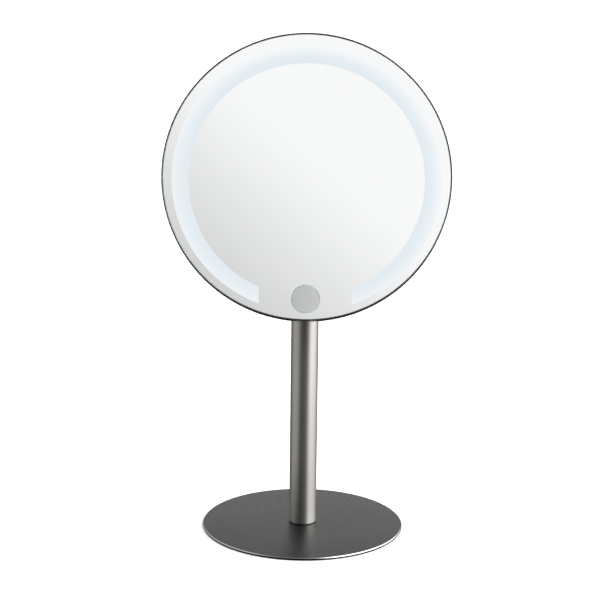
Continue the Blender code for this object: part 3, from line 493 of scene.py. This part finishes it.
MATERIALS = {
    "post": ringed_steel(),
    # A darker copy of the base's satin steel for the plate's side: painted shade.
    "base_side": metal("base_side_steel_painted_shade", (0.026, 0.026, 0.027), 0.42, (420.0, 420.0, 420.0), 0.04),
    "base": metal("satin_base_steel", (0.0635, 0.0635, 0.0640), 0.36, (420.0, 420.0, 420.0), 0.07),
    # A brighter copy of the base's steel for the chamfer: partly a polished edge, partly a painted highlight.
    "chamfer": metal("polished_chamfer_and_highlight_steel", (0.50, 0.50, 0.50), 0.20, (200.0, 200.0, 200.0), 0.05),
    "rim": metal("dark_rim_steel", (0.115, 0.115, 0.112), 0.20, (300.0, 300.0, 2500.0), 0.06),
    # A lighter copy of the rim's dark steel for its outer side: painted light.
    "rim_side": metal("rim_side_steel_painted_light", (0.32, 0.32, 0.315), 0.24, (300.0, 300.0, 2500.0), 0.06),
    "machined": metal("machined_steel", (0.56, 0.56, 0.54), 0.30, (250.0, 250.0, 1800.0)),
    "brass": metal("turned_brass", (0.70, 0.53, 0.26), 0.28, (200.0, 200.0, 2000.0)),
    "mirror": silvered_glass(),
    "glass_edge": plastic("polished_glass_edge", (0.78, 0.84, 0.84), 0.12, 600.0, 0.02),
    "band": frosted_band(),
    "cover": plastic("charcoal_cover", (0.045, 0.045, 0.048), 0.42),
    "button": plastic("grey_button", (0.385, 0.393, 0.388), 0.58, 3000.0, 0.08, 0.02),
    "white": plastic("white_moulding", (0.80, 0.80, 0.79), 0.40),
    "nylon": plastic("natural_nylon", (0.74, 0.72, 0.66), 0.45),
    "rubber": plastic("black_rubber", (0.018, 0.018, 0.018), 0.75, 1200.0, 0.30),
    "foam": plastic("black_foam", (0.03, 0.03, 0.03), 0.90, 900.0, 0.50),
    "acrylic": plastic("clear_acrylic", (0.80, 0.87, 0.90), 0.10, 500.0, 0.02),
    "board": plastic("solder_mask", (0.015, 0.14, 0.06), 0.35, 700.0, 0.10, 0.15),
    "chip": plastic("moulded_epoxy", (0.018, 0.018, 0.018), 0.50),
    "wrap": plastic("battery_wrap", (0.06, 0.16, 0.34), 0.30, 400.0, 0.05),
    "red": plastic("red_insulation", (0.50, 0.02, 0.02), 0.40, 800.0, 0.05),
    "black": plastic("black_insulation", (0.02, 0.02, 0.02), 0.40, 800.0, 0.05),
}

SLOT_FINISH = {
    "brushed_post": "post", "satin_base": "base", "dark_rim": "rim", "zinc_steel": "machined",
    "brass": "brass", "mirror": "mirror", "rubber": "rubber", "foam": "foam", "nylon": "nylon",
    "acrylic": "acrylic", "white_plastic": "white", "grey_plastic": "button",
    "charcoal_plastic": "cover", "board_green": "board", "chip_black": "chip",
    "battery_wrap": "wrap", "lead_red": "red", "lead_black": "black",
}


def finish_cad_nodes():
    """Every CAD node gets the fine material of its slot."""
    for entry in frame["record"]["subparts"]:
        obj = NODES[entry["node"]]
        obj.data.materials.clear()
        obj.data.materials.append(MATERIALS[SLOT_FINISH[entry["material_slot"]]])


def settle(obj, body, slot_name, *nodes):
    """The piece rides on its body and stands for its CAD nodes, which it hides; its slot name is not used."""
    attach(obj, body)
    if nodes:
        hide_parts(*nodes)


# ---- Stand -------------------------------------------------------------------------------------

PAD_OPENING_RADIUS = 0.0113
FIT_GAP = 0.0003


def make_base():
    chamfer = 0.00062
    edge = 0.00020
    corners = [
        (0.0, BASE_TOP, 0.0), (BASE_RADIUS - chamfer, BASE_TOP, edge),
        (BASE_RADIUS, BASE_TOP - chamfer, edge), (BASE_RADIUS, BASE_LOW.z, edge * 2),
        (0.0, BASE_LOW.z, 0.0)]
    base = lathe("base_plate_fine", corners, 256, STAND, "base", steps=3)

    pad_radius, pad_low, pad_high = extent("base_pad", STAND)[1:]
    pocket_inner = PAD_OPENING_RADIUS - FIT_GAP
    pocket_outer = pad_radius + FIT_GAP
    pocket_top = pad_high + FIT_GAP
    pocket_low = pad_low - CUT_PAST
    pocket = lathe_mesh("pocket", [
        (pocket_inner, pocket_top, 0.0), (pocket_outer, pocket_top, 0.0),
        (pocket_outer, pocket_low, 0.0), (pocket_inner, pocket_low, 0.0)], 192, ring=True)
    combine(base, "DIFFERENCE", pocket)

    shaft = 0.0023
    sink_top = BASE_TOP - FIT_GAP
    sink_low = -0.0005
    countersink = lathe_mesh("countersink", [
        (0.0, BASE_TOP + CUT_PAST, 0.0), (shaft, BASE_TOP + CUT_PAST, 0.0), (shaft, sink_top, 0.0),
        (shaft + sink_top - sink_low, sink_low, 0.0), (0.0, sink_low, 0.0)], 64)
    pin_hole_radius = 0.0018
    pin_hole = cylinders_mesh(pin_hole_radius, BASE_LOW.z - CUT_PAST, BASE_TOP + CUT_PAST,
                              places(["base_locating_pin"], POST), 48)
    combine(base, "DIFFERENCE", countersink, pin_hole, matrix=POST)

    def on_edge(polygon):
        return math.hypot(polygon.center.x, polygon.center.y) > BASE_RADIUS - chamfer

    # The chamfer gets the brighter copy of the steel: partly a polished edge, partly a painted highlight.
    paint(base, "chamfer", lambda polygon: on_edge(polygon) and SLOPING < polygon.normal.z < LEVEL)
    # The side faces get the darker copy of the same steel: painted shade.
    paint(base, "base_side", lambda polygon: on_edge(polygon) and polygon.normal.z <= SLOPING)
    settle(base, "stand", "satin_base", "base_plate")


def make_post():
    edge = 0.0005
    wall = 0.0010
    inner = POST_RADIUS - wall
    corners = [
        (inner, POST_HIGH.z, 0.0), (POST_RADIUS, POST_HIGH.z, edge),
        (POST_RADIUS, POST_LOW.z, edge), (inner, POST_LOW.z, 0.0)]
    post = lathe("post_tube_fine", corners, 192, POST, "post", ring=True)
    settle(post, "stand", "brushed_post", "post_tube")


def make_pad():
    radius, low, high = extent("base_pad", STAND)[1:]
    corners = [
        (PAD_OPENING_RADIUS, high, 0.0001), (radius, high, 0.0002), (radius, low, 0.0003),
        (PAD_OPENING_RADIUS, low, 0.0002)]
    pad = lathe("base_pad_fine", corners, 192, STAND, "rubber", ring=True, steps=3)
    settle(pad, "stand", "rubber", "base_pad")


def make_base_screw():
    radius, low, high = extent("base_screw", POST)[1:]
    shaft = 0.0020
    cone_low = low + 0.0001
    corners = [
        (0.0, high, 0.0), (shaft, high, 0.0004), (shaft, cone_low + radius - shaft, 0.0),
        (radius, cone_low, 0.0), (radius, low, 0.0), (0.0, low, 0.0)]
    screw = lathe("base_screw_fine", corners, 64, POST, "machined")
    socket_radius = 0.0014
    socket_depth = 0.0012
    combine(screw, "DIFFERENCE", prism_mesh(hexagon(socket_radius), low - CUT_PAST, low + socket_depth))
    settle(screw, "stand", "zinc_steel", "base_screw")


# ---- Head --------------------------------------------------------------------------------------

def make_rim():
    wall = 0.0010
    flange_width = 0.0037
    flange_thickness = 0.0009
    edge = 0.0004
    depth = depth_of("rim_ring", front=False)
    inner = RIM_RADIUS - wall
    flange_inner = RIM_RADIUS - flange_width
    flange_front = -depth + flange_thickness
    corners = [
        (inner, 0.0, 0.0002), (RIM_RADIUS, 0.0, edge), (RIM_RADIUS, -depth, 0.0003),
        (flange_inner, -depth, 0.0), (flange_inner, flange_front, 0.0), (inner, flange_front, 0.0)]
    rim = lathe("rim_ring_fine", corners, 320, HEAD, "rim", ring=True)
    # The rim's outer side gets the lighter copy of its steel: painted light.
    paint(rim, "rim_side", lambda polygon: polygon.normal.z < 0.5 and polygon.center.z < -edge)
    settle(rim, "head", "dark_rim", "rim_ring")


def make_glass():
    into_rim = 0.0002
    arris = 0.00045
    front = depth_of("mirror_glass")
    back = depth_of("mirror_glass", front=False)
    radius = extent("mirror_glass", HEAD)[1] + into_rim
    corners = [
        (0.0, -front, 0.0), (radius - arris, -front, 0.0), (radius, -front - arris, 0.0),
        (radius, -back, 0.0), (0.0, -back, 0.0)]
    glass = lathe("mirror_glass_fine", corners, 320, HEAD, "mirror")

    hole_radius = 0.01004
    flare_low_radius = 0.00994
    flare_high_radius = 0.01054
    flare_low = -front - 0.0004
    flare_high = -front + 0.0002
    hole = cylinders_mesh(hole_radius, -back - CUT_PAST, flare_high, [button_place()], 128)
    flare = cylinders_mesh(flare_low_radius, flare_low, flare_high, [button_place()], 128, flare_high_radius)
    combine(glass, "DIFFERENCE", hole, flare)
    paint(glass, "glass_edge", lambda polygon: abs(polygon.normal.z) < LEVEL)
    settle(glass, "head", "mirror", "mirror_glass")


def make_band():
    """C-shaped frosted window on the glass, open at the bottom with straight upright ends."""
    rings = 6
    steps = 288
    lift = 0.00001
    thickness = 0.00004
    low = -depth_of("mirror_glass") + lift
    edges = []
    for radius, drop in ((BAND_INNER_RADIUS, BAND_INNER_DROP), (BAND_OUTER_RADIUS, BAND_OUTER_DROP)):
        half = math.asin(BAND_GAP_HALF / radius)
        start = -math.pi / 2 + half
        sweep = 2 * math.pi - 2 * half
        angles = [start + sweep * i / steps for i in range(steps + 1)]
        edges.append([Vector((radius * math.cos(a), radius * math.sin(a) - drop, low)) for a in angles])
    bm = bmesh.new()
    rows = []
    for ring in range(rings + 1):
        rows.append([bm.verts.new(inner.lerp(outer, ring / rings)) for inner, outer in zip(*edges)])
    for lower, upper in zip(rows, rows[1:]):
        for i in range(steps):
            bm.faces.new((lower[i], upper[i], upper[i + 1], lower[i + 1]))
    bmesh.ops.recalc_face_normals(bm, faces=bm.faces)
    raise_faces(bm, thickness)
    band = link_mesh("light_band", mesh_from(bm, "light_band"), HEAD, "band")
    settle(band, "head", "acrylic")


def make_button():
    front = depth_of("button_cap")
    back = depth_of("button_cap", front=False)
    radius = 0.00992
    flange_radius = extent("button_cap", HEAD)[1]
    flange_thickness = 0.0010
    flange_front = back - flange_thickness
    corners = [
        (0.0, -front, 0.0), (radius, -front, 0.00035), (radius, -flange_front, 0.0),
        (flange_radius, -flange_front, 0.0001), (flange_radius, -back, 0.0001), (0.0, -back, 0.0)]
    place = HEAD @ Matrix.Translation((*button_place(), 0.0))
    cap = lathe("button_cap_fine", corners, 128, place, "button")
    settle(cap, "button", "grey_plastic", "button_cap")


COVER_HEAD_HEIGHT = 0.0014
COVER_SHAFT_RADIUS = 0.0013
COVER_HEAD_DOME = 0.0004
BRACKET_HEAD_HEIGHT = 0.0022
BRACKET_SHAFT_RADIUS = 0.0019
BRACKET_HEAD_DOME = 0.0008
BRACKET_HOLE_RADIUS = 0.0022


def make_rear_cover():
    """Shell with a flat middle that curves forward to its edge, four bosses and its openings."""
    edge_radius, low, high = extent("rear_cover", HEAD)[1:]
    flat_radius = 0.0520
    wall = 0.0017
    edge = 0.0002
    curve = 2.6
    steps = 28
    rim_width = 0.0038
    inner_radius = edge_radius - rim_width

    def outside(radius):
        share = (radius - flat_radius) / (edge_radius - flat_radius)
        return low + (high - low) * max(0.0, share) ** curve

    def radii(end):
        turns = [math.pi / 2 * i / steps for i in range(steps + 1)]
        return [flat_radius + (end - flat_radius) * math.sin(turn) for turn in turns]

    corners = [(0.0, low + wall, 0.0)]
    corners += [(radius, outside(radius) + wall, 0.0) for radius in radii(inner_radius)[:-1]]
    corners += [(inner_radius, high, 0.0), (edge_radius - edge, high, 0.0), (edge_radius, high - edge, 0.0)]
    corners += [(radius, outside(radius), 0.0) for radius in reversed(radii(edge_radius))
                if outside(radius) < high - 2 * edge]
    corners += [(0.0, low, 0.0)]
    cover = lathe("rear_cover_fine", corners, 288, HEAD, "cover")

    centres = places(COVER_SCREWS, HEAD)
    seat = extent(COVER_SCREWS[0], HEAD)[2] + COVER_HEAD_HEIGHT
    boss_radius = 0.0044
    boss_low = seat - 0.0004
    boss_high = seat + 0.0022
    recess_radius = 0.0032
    recess_floor = seat + 0.0003
    passage_radius = 0.0017
    bosses = cylinders_mesh(boss_radius, boss_low, boss_high, centres, 48)
    recesses = cylinders_mesh(recess_radius, low - CUT_PAST, recess_floor, centres, 48)
    passages = cylinders_mesh(passage_radius, seat - CUT_PAST, boss_high + CUT_PAST, centres, 32)
    wall_low = low - CUT_PAST
    wall_high = low + wall + CUT_PAST
    window_width = 0.0098
    window_height = 0.0042
    window_corner = 0.0020
    window_outline = rounded_outline(window_width, window_height, window_corner,
                                     places(["charging_socket"], HEAD)[0])
    window = prism_mesh(window_outline, wall_low, wall_high)
    holes = cylinders_mesh(BRACKET_HOLE_RADIUS, wall_low, wall_high, places(BRACKET_SCREWS, HEAD), 32)
    combine(cover, "UNION", bosses)
    combine(cover, "DIFFERENCE", recesses, passages, window, holes)
    settle(cover, "head", "charcoal_plastic", "rear_cover")


def make_screw(node, head_height, shaft_radius, dome):
    """Screw whose head points away from the glass, with a six-sided socket."""
    centre, radius, low, high = extent(node, HEAD)
    seat = low + head_height
    corners = [
        (0.0, high, 0.0), (shaft_radius, high, 0.0003), (shaft_radius, seat, 0.0),
        (radius, seat, 0.0002), (radius, low, dome), (0.0, low, 0.0)]
    place = HEAD @ Matrix.Translation(centre)
    screw = lathe(node + "_fine", corners, 64, place, "machined", steps=6)
    socket_radius = radius * 0.48
    socket_depth = head_height * 0.6
    combine(screw, "DIFFERENCE", prism_mesh(hexagon(socket_radius), low - CUT_PAST, low + socket_depth))
    settle(screw, "head", "zinc_steel", node)


def make_bracket():
    """Round flange with a lug that takes the hinge pin."""
    radius, low, high = extent("tilt_bracket", HEAD)[1:]
    thickness = 0.0027
    flange_low = high - thickness
    corners = [
        (0.0, high, 0.0), (radius, high, 0.0002), (radius, flange_low, 0.0008), (0.0, flange_low, 0.0)]
    bracket = lathe("tilt_bracket_fine", corners, 128, HEAD, "machined")

    half_width = 0.0042
    sunk = 0.0006
    lug_edge = 0.0005
    bore_radius = 0.0031
    length = flange_low - (HEAD.inverted() @ HINGE_POINT).z + sunk
    outline = eye_outline(end_radius("tilt_bracket", LUG), length)
    lug = link_mesh("lug", prism_mesh(outline, -half_width, half_width), LUG, "machined")
    combine(bracket, "UNION", softened_mesh(lug, lug_edge), matrix=LUG)
    bore = cylinders_mesh(bore_radius, -half_width - CUT_PAST, half_width + CUT_PAST, [(0.0, 0.0)])
    combine(bracket, "DIFFERENCE", bore, matrix=LUG)
    holes = cylinders_mesh(BRACKET_HOLE_RADIUS, flange_low - CUT_PAST, high + CUT_PAST,
                           places(BRACKET_SCREWS, HEAD), 48)
    combine(bracket, "DIFFERENCE", holes)
    settle(bracket, "head", "zinc_steel", "tilt_bracket")


def make_charging_socket():
    """Shell with a mouth and a tongue in it. Each outline is a width, a height and a corner radius."""
    shell_outline = rounded_outline(0.0090, 0.0034, 0.0016)
    mouth_outline = rounded_outline(0.0083, 0.0027, 0.0012)
    tongue_outline = rounded_outline(0.0066, 0.0007, 0.0001)
    mouth_depth = 0.0055
    tongue_start = 0.0010
    tongue_end = 0.0060
    centre, _, low, high = extent("charging_socket", HEAD)
    place = HEAD @ Matrix.Translation(centre)
    shell = link_mesh("charging_socket_fine", prism_mesh(shell_outline, low, high), place, "machined")
    combine(shell, "DIFFERENCE", prism_mesh(mouth_outline, low - CUT_PAST, low + mouth_depth))
    combine(shell, "UNION", prism_mesh(tongue_outline, low + tongue_start, low + tongue_end))
    settle(shell, "head", "zinc_steel", "charging_socket")


# ---- Swivel and hinge --------------------------------------------------------------------------

PIN_HOLE_RADIUS = 0.0032


def make_yoke():
    """Turning fork: a grooved spindle in the post, a round foot on it and two ears for the hinge pin."""
    foot_low = 0.0013
    foot_high = 0.0058
    spindle = 0.0040
    groove = 0.0031
    low = extent("swivel_yoke", SWIVEL)[2]
    groove_low = low + 0.0015
    groove_high = low + 0.0025
    corners = [
        (0.0, foot_high, 0.0), (POST_RADIUS, foot_high, 0.0009), (POST_RADIUS, foot_low, 0.0003),
        (spindle, foot_low, 0.0), (spindle, groove_high, 0.0), (groove, groove_high, 0.0),
        (groove, groove_low, 0.0), (spindle, groove_low, 0.0), (spindle, low, 0.0004), (0.0, low, 0.0)]
    yoke = lathe("swivel_yoke_fine", corners, 128, SWIVEL, "machined")

    left, right = extent("swivel_yoke", FORK)[2:]
    hinge = HINGE_POINT.z - SWIVEL_POINT.z
    sunk = 0.0010
    outline = eye_outline(end_radius("swivel_yoke", FORK), hinge - foot_high + sunk)
    ears = link_mesh("ears", prism_mesh(outline, left, right), FORK, "machined")
    slot_half = 0.0054
    slot_floor = 0.0130
    beyond = 0.02
    slot = prism_mesh([(-beyond, -beyond), (slot_floor, -beyond), (slot_floor, beyond), (-beyond, beyond)],
                      -slot_half, slot_half)
    hole = cylinders_mesh(PIN_HOLE_RADIUS, left - CUT_PAST, right + CUT_PAST, [(0.0, 0.0)])
    combine(ears, "DIFFERENCE", slot, hole)

    ears_radius = 0.0130
    ears_edge = 0.0004
    flare_high = hinge - 0.0060
    flare_low = foot_high + 0.0030
    flare = lathe_mesh("flare", [
        (0.0, hinge + beyond, 0.0), (ears_radius, hinge + beyond, 0.0), (ears_radius, flare_high, 0.0),
        (POST_RADIUS, flare_low, 0.0), (POST_RADIUS, foot_low, 0.0), (0.0, foot_low, 0.0)], 128)
    combine(ears, "INTERSECT", flare, matrix=SWIVEL)
    combine(yoke, "UNION", softened_mesh(ears, ears_edge), matrix=FORK)
    settle(yoke, "yoke", "zinc_steel", "swivel_yoke")


def make_tilt_pin():
    radius, low, high = extent("tilt_pin", FORK)[1:]
    shaft = 0.0030
    head_low = high - 0.0025
    corners = [
        (0.0, high, 0.0), (radius, high, 0.0006), (radius, head_low, 0.0002),
        (shaft, head_low, 0.0), (shaft, low, 0.0005), (0.0, low, 0.0)]
    pin = lathe("tilt_pin_fine", corners, 96, FORK, "machined")
    socket_radius = 0.0022
    socket_depth = 0.0017
    combine(pin, "DIFFERENCE", prism_mesh(hexagon(socket_radius), high - socket_depth, high + CUT_PAST))
    settle(pin, "yoke", "zinc_steel", "tilt_pin")


def make_tilt_nut():
    """Hexagon whose corners are turned off at both ends, with a hole for the pin."""
    low, high = extent("tilt_nut", FORK)[2:]
    corner_radius = max(point.xy.length for point in points_of("tilt_nut", FORK))
    nut = link_mesh("tilt_nut_fine", prism_mesh(hexagon(corner_radius), low, high), FORK, "machined")
    face_radius = corner_radius * 0.89
    wide = corner_radius * 1.10
    slope = (wide - face_radius) * 0.55
    turned = lathe_mesh("nut_rounding", [
        (0.0, high, 0.0), (face_radius, high, 0.0), (wide, high - slope, 0.0), (wide, low + slope, 0.0),
        (face_radius, low, 0.0), (0.0, low, 0.0)], 96)
    combine(nut, "INTERSECT", turned)
    combine(nut, "DIFFERENCE", cylinders_mesh(PIN_HOLE_RADIUS, low - CUT_PAST, high + CUT_PAST, [(0.0, 0.0)]))
    settle(nut, "yoke", "zinc_steel", "tilt_nut")


def make_washer(node, matrix, slot_name, hole_radius):
    radius, low, high = extent(node, matrix)[1:]
    edge = 0.0001
    corners = [
        (hole_radius, high, edge), (radius, high, edge), (radius, low, edge), (hole_radius, low, edge)]
    washer = lathe(node + "_fine", corners, 96, matrix, SLOT_FINISH[slot_name], ring=True, steps=3)
    settle(washer, "yoke", slot_name, node)


def make_hinge_parts():
    make_yoke()
    make_tilt_pin()
    make_tilt_nut()
    hinge_hole = 0.0033
    spindle_hole = 0.0043
    make_washer("tilt_spring_washer", FORK, "zinc_steel", hinge_hole)
    make_washer("friction_washer_left", FORK, "nylon", hinge_hole)
    make_washer("friction_washer_right", FORK, "nylon", hinge_hole)
    make_washer("swivel_washer", SWIVEL, "nylon", spindle_hole)


# ---- Studio ------------------------------------------------------------------------------------

CAMERA_DISTANCE = 1.600
CAMERA_ELEVATION = math.radians(20.46)
CAMERA_AIM = Vector((-0.0038, 0.0, 0.17098))
CAMERA_ROLL = math.radians(0.70)
CAMERA_LENS = 127.91
CAMERA_SENSOR = 36.0


def make_camera():
    """Camera in front and above, placed and aimed from the middle of the base's top."""
    base_centre = Vector((0.0, 0.0, BASE_TOP))
    location = base_centre + CAMERA_DISTANCE * Vector(
        (0.0, -math.cos(CAMERA_ELEVATION), math.sin(CAMERA_ELEVATION)))
    forward = (base_centre + CAMERA_AIM - location).normalized()
    level_right = forward.cross(Vector((0.0, 0.0, 1.0))).normalized()
    level_up = level_right.cross(forward)
    right = math.cos(CAMERA_ROLL) * level_right + math.sin(CAMERA_ROLL) * level_up
    up = -math.sin(CAMERA_ROLL) * level_right + math.cos(CAMERA_ROLL) * level_up
    data = bpy.data.cameras.new("camera")
    data.lens = CAMERA_LENS
    data.sensor_width = CAMERA_SENSOR
    bpy.context.scene.camera = add_object("camera", data, frame_matrix(location, right, up, -forward))


# Studio radiance around the horizon as (azimuth in degrees, level). Azimuth 0 is -Y and it grows
# towards +X. The low screens reach down from just above the horizon, the high ones up from there.
LOW_STUDIO = [
    (-180, 0.01), (-146, 0.01), (-130, 0.14), (-108, 0.44), (-58, 0.56), (-44, 0.36), (-29, 0.13),
    (0, 0.10), (14, 0.11), (30, 0.25), (44, 0.48), (62, 0.60), (95, 0.60), (120, 0.46), (148, 0.06),
    (180, 0.02)]
HIGH_STUDIO = [
    (-180, 0.92), (-155, 0.55), (-128, 0.80), (-85, 0.95), (-60, 0.40), (-30, 0.18), (0, 0.10),
    (20, 0.18), (38, 1.60), (52, 5.20), (108, 5.00), (128, 2.60), (143, 0.95), (180, 0.92)]
STUDIO_SCALE = 6.0
CEILING_LEVEL = 0.35
STUDIO_COLOUR = (0.996, 1.0, 1.0, 1.0)

# Heights, as the sine of the elevation, between which the low screens give way to the high ones
# and those to the ceiling.
SCREEN_CHANGE = (0.02, 0.16)
CEILING_CHANGE = (0.90, 0.95)

# The card is what the mirror shows: bright at the upper right, greyer at the lower left. Its edges
# are soft, each between two parts of a direction's X, Y or Z.
CARD_RISE_ACROSS = 2.75
CARD_RISE_UP = 3.80
CARD_START = -0.937
CARD_BRIGHTEST = 0.975
CARD_SHOULDER = 0.08
CARD_DARKEST = 0.45
CARD_SIDES = (0.17, 0.26)
CARD_BOTTOM = (0.30, 0.34)
CARD_TOP = (0.58, 0.66)
CARD_FRONT = (-0.4, -0.3)

FLOOR_SIZE = 400.0
FLOOR_COLOUR = (0.93, 0.93, 0.925)
FLOOR_DARKER = (0.925, 0.925, 0.92)
FLOOR_LIGHTER = (0.935, 0.935, 0.93)
FLOOR_ROUGHNESS = 0.9
FLOOR_GLOW = 0.28


def connect(tree, socket, value):
    """Put a number or another node's output into a socket."""
    if isinstance(value, (int, float)):
        socket.default_value = value
    else:
        tree.links.new(value, socket)


def math_node(tree, operation, *values):
    node = tree.nodes.new("ShaderNodeMath")
    node.operation = operation
    for socket, value in zip(node.inputs, values):
        connect(tree, socket, value)
    return node.outputs["Value"]


def map_range(tree, value, start, end, low, high, smooth=True):
    node = tree.nodes.new("ShaderNodeMapRange")
    node.interpolation_type = "SMOOTHSTEP" if smooth else "LINEAR"
    for name, number in (("From Min", start), ("From Max", end), ("To Min", low), ("To Max", high)):
        node.inputs[name].default_value = number
    tree.links.new(value, node.inputs["Value"])
    return node.outputs["Result"]


def rising(tree, value, ends):
    return map_range(tree, value, *ends, 0.0, 1.0)


def falling(tree, value, ends):
    return map_range(tree, value, *ends, 1.0, 0.0)


def blend(tree, factor, a, b):
    mixed = tree.nodes.new("ShaderNodeMix")
    mixed.data_type = "FLOAT"
    for name, value in (("A", a), ("B", b), ("Factor", factor)):
        connect(tree, mixed.inputs[name], value)
    return mixed.outputs["Result"]


def screens(tree, turn, stops):
    """Radiance around the horizon, eased between its stops."""
    ramp = tree.nodes.new("ShaderNodeValToRGB")
    ramp.color_ramp.interpolation = "EASE"
    elements = ramp.color_ramp.elements
    elements.remove(elements[-1])
    for number, (degrees, level) in enumerate(stops):
        position = (degrees + 180.0) / 360.0
        element = elements[0] if number == 0 else elements.new(position)
        element.position = position
        part = level / STUDIO_SCALE
        element.color = (part, part, part, 1.0)
    tree.links.new(turn, ramp.inputs["Fac"])
    return math_node(tree, "MULTIPLY", ramp.outputs["Color"], STUDIO_SCALE)


def make_world():
    """Studio: screens around the horizon, a graded card in front of the mirror, and a dim ceiling."""
    world = bpy.data.worlds.new("studio")
    bpy.context.scene.world = world
    world.use_nodes = True
    tree = world.node_tree
    coordinates = tree.nodes.new("ShaderNodeTexCoord")
    split = tree.nodes.new("ShaderNodeSeparateXYZ")
    tree.links.new(coordinates.outputs["Generated"], split.inputs["Vector"])
    x, y, z = (split.outputs[axis] for axis in "XYZ")
    azimuth = math_node(tree, "ARCTAN2", x, math_node(tree, "MULTIPLY", y, -1.0))
    turn = map_range(tree, azimuth, -math.pi, math.pi, 0.0, 1.0, smooth=False)
    low = screens(tree, turn, LOW_STUDIO)
    high = screens(tree, turn, HIGH_STUDIO)
    around = blend(tree, rising(tree, z, SCREEN_CHANGE), low, high)
    level = blend(tree, rising(tree, z, CEILING_CHANGE), around, CEILING_LEVEL)

    slope = math_node(tree, "ADD", math_node(tree, "MULTIPLY", x, CARD_RISE_ACROSS),
                      math_node(tree, "MULTIPLY", z, CARD_RISE_UP))
    ramped = math_node(tree, "ADD", slope, CARD_START)
    capped = math_node(tree, "SMOOTH_MIN", ramped, CARD_BRIGHTEST, CARD_SHOULDER)
    card_level = math_node(tree, "MAXIMUM", capped, CARD_DARKEST)
    sideways = falling(tree, math_node(tree, "ABSOLUTE", x), CARD_SIDES)
    facing = falling(tree, y, CARD_FRONT)
    height = math_node(tree, "MULTIPLY", rising(tree, z, CARD_BOTTOM), falling(tree, z, CARD_TOP))
    mask = math_node(tree, "MULTIPLY", math_node(tree, "MULTIPLY", sideways, facing), height)
    background = tree.nodes["Background"]
    tree.links.new(blend(tree, mask, level, card_level), background.inputs["Strength"])
    background.inputs["Color"].default_value = STUDIO_COLOUR


def make_floor():
    """Pale floor that glows a little, so that next to no shadow shows on it."""
    made = Material("pale_floor", FLOOR_COLOUR, FLOOR_ROUGHNESS)
    made.link(made.mix(made.noise(3.0), FLOOR_DARKER, FLOOR_LIGHTER), made.shader.inputs["Base Color"])
    made.shader.inputs["Specular IOR Level"].default_value = 0.0
    made.shader.inputs["Emission Color"].default_value = (1.0, 1.0, 1.0, 1.0)
    made.shader.inputs["Emission Strength"].default_value = FLOOR_GLOW
    bpy.ops.mesh.primitive_plane_add(size=FLOOR_SIZE, location=(0.0, 0.0, 0.0))
    floor = bpy.context.object
    floor.name = "floor"
    floor.data.materials.append(made.material)
    floor.visible_glossy = False


bpy.context.scene.view_settings.view_transform = "Standard"
make_camera()
make_world()
make_floor()
finish_cad_nodes()
make_base()
make_post()
make_rim()
make_glass()
make_band()
make_button()
make_rear_cover()
for cover_screw in COVER_SCREWS:
    make_screw(cover_screw, COVER_HEAD_HEIGHT, COVER_SHAFT_RADIUS, COVER_HEAD_DOME)
for bracket_screw in BRACKET_SCREWS:
    make_screw(bracket_screw, BRACKET_HEAD_HEIGHT, BRACKET_SHAFT_RADIUS, BRACKET_HEAD_DOME)
make_bracket()
make_charging_socket()
make_hinge_parts()
make_pad()
make_base_screw()
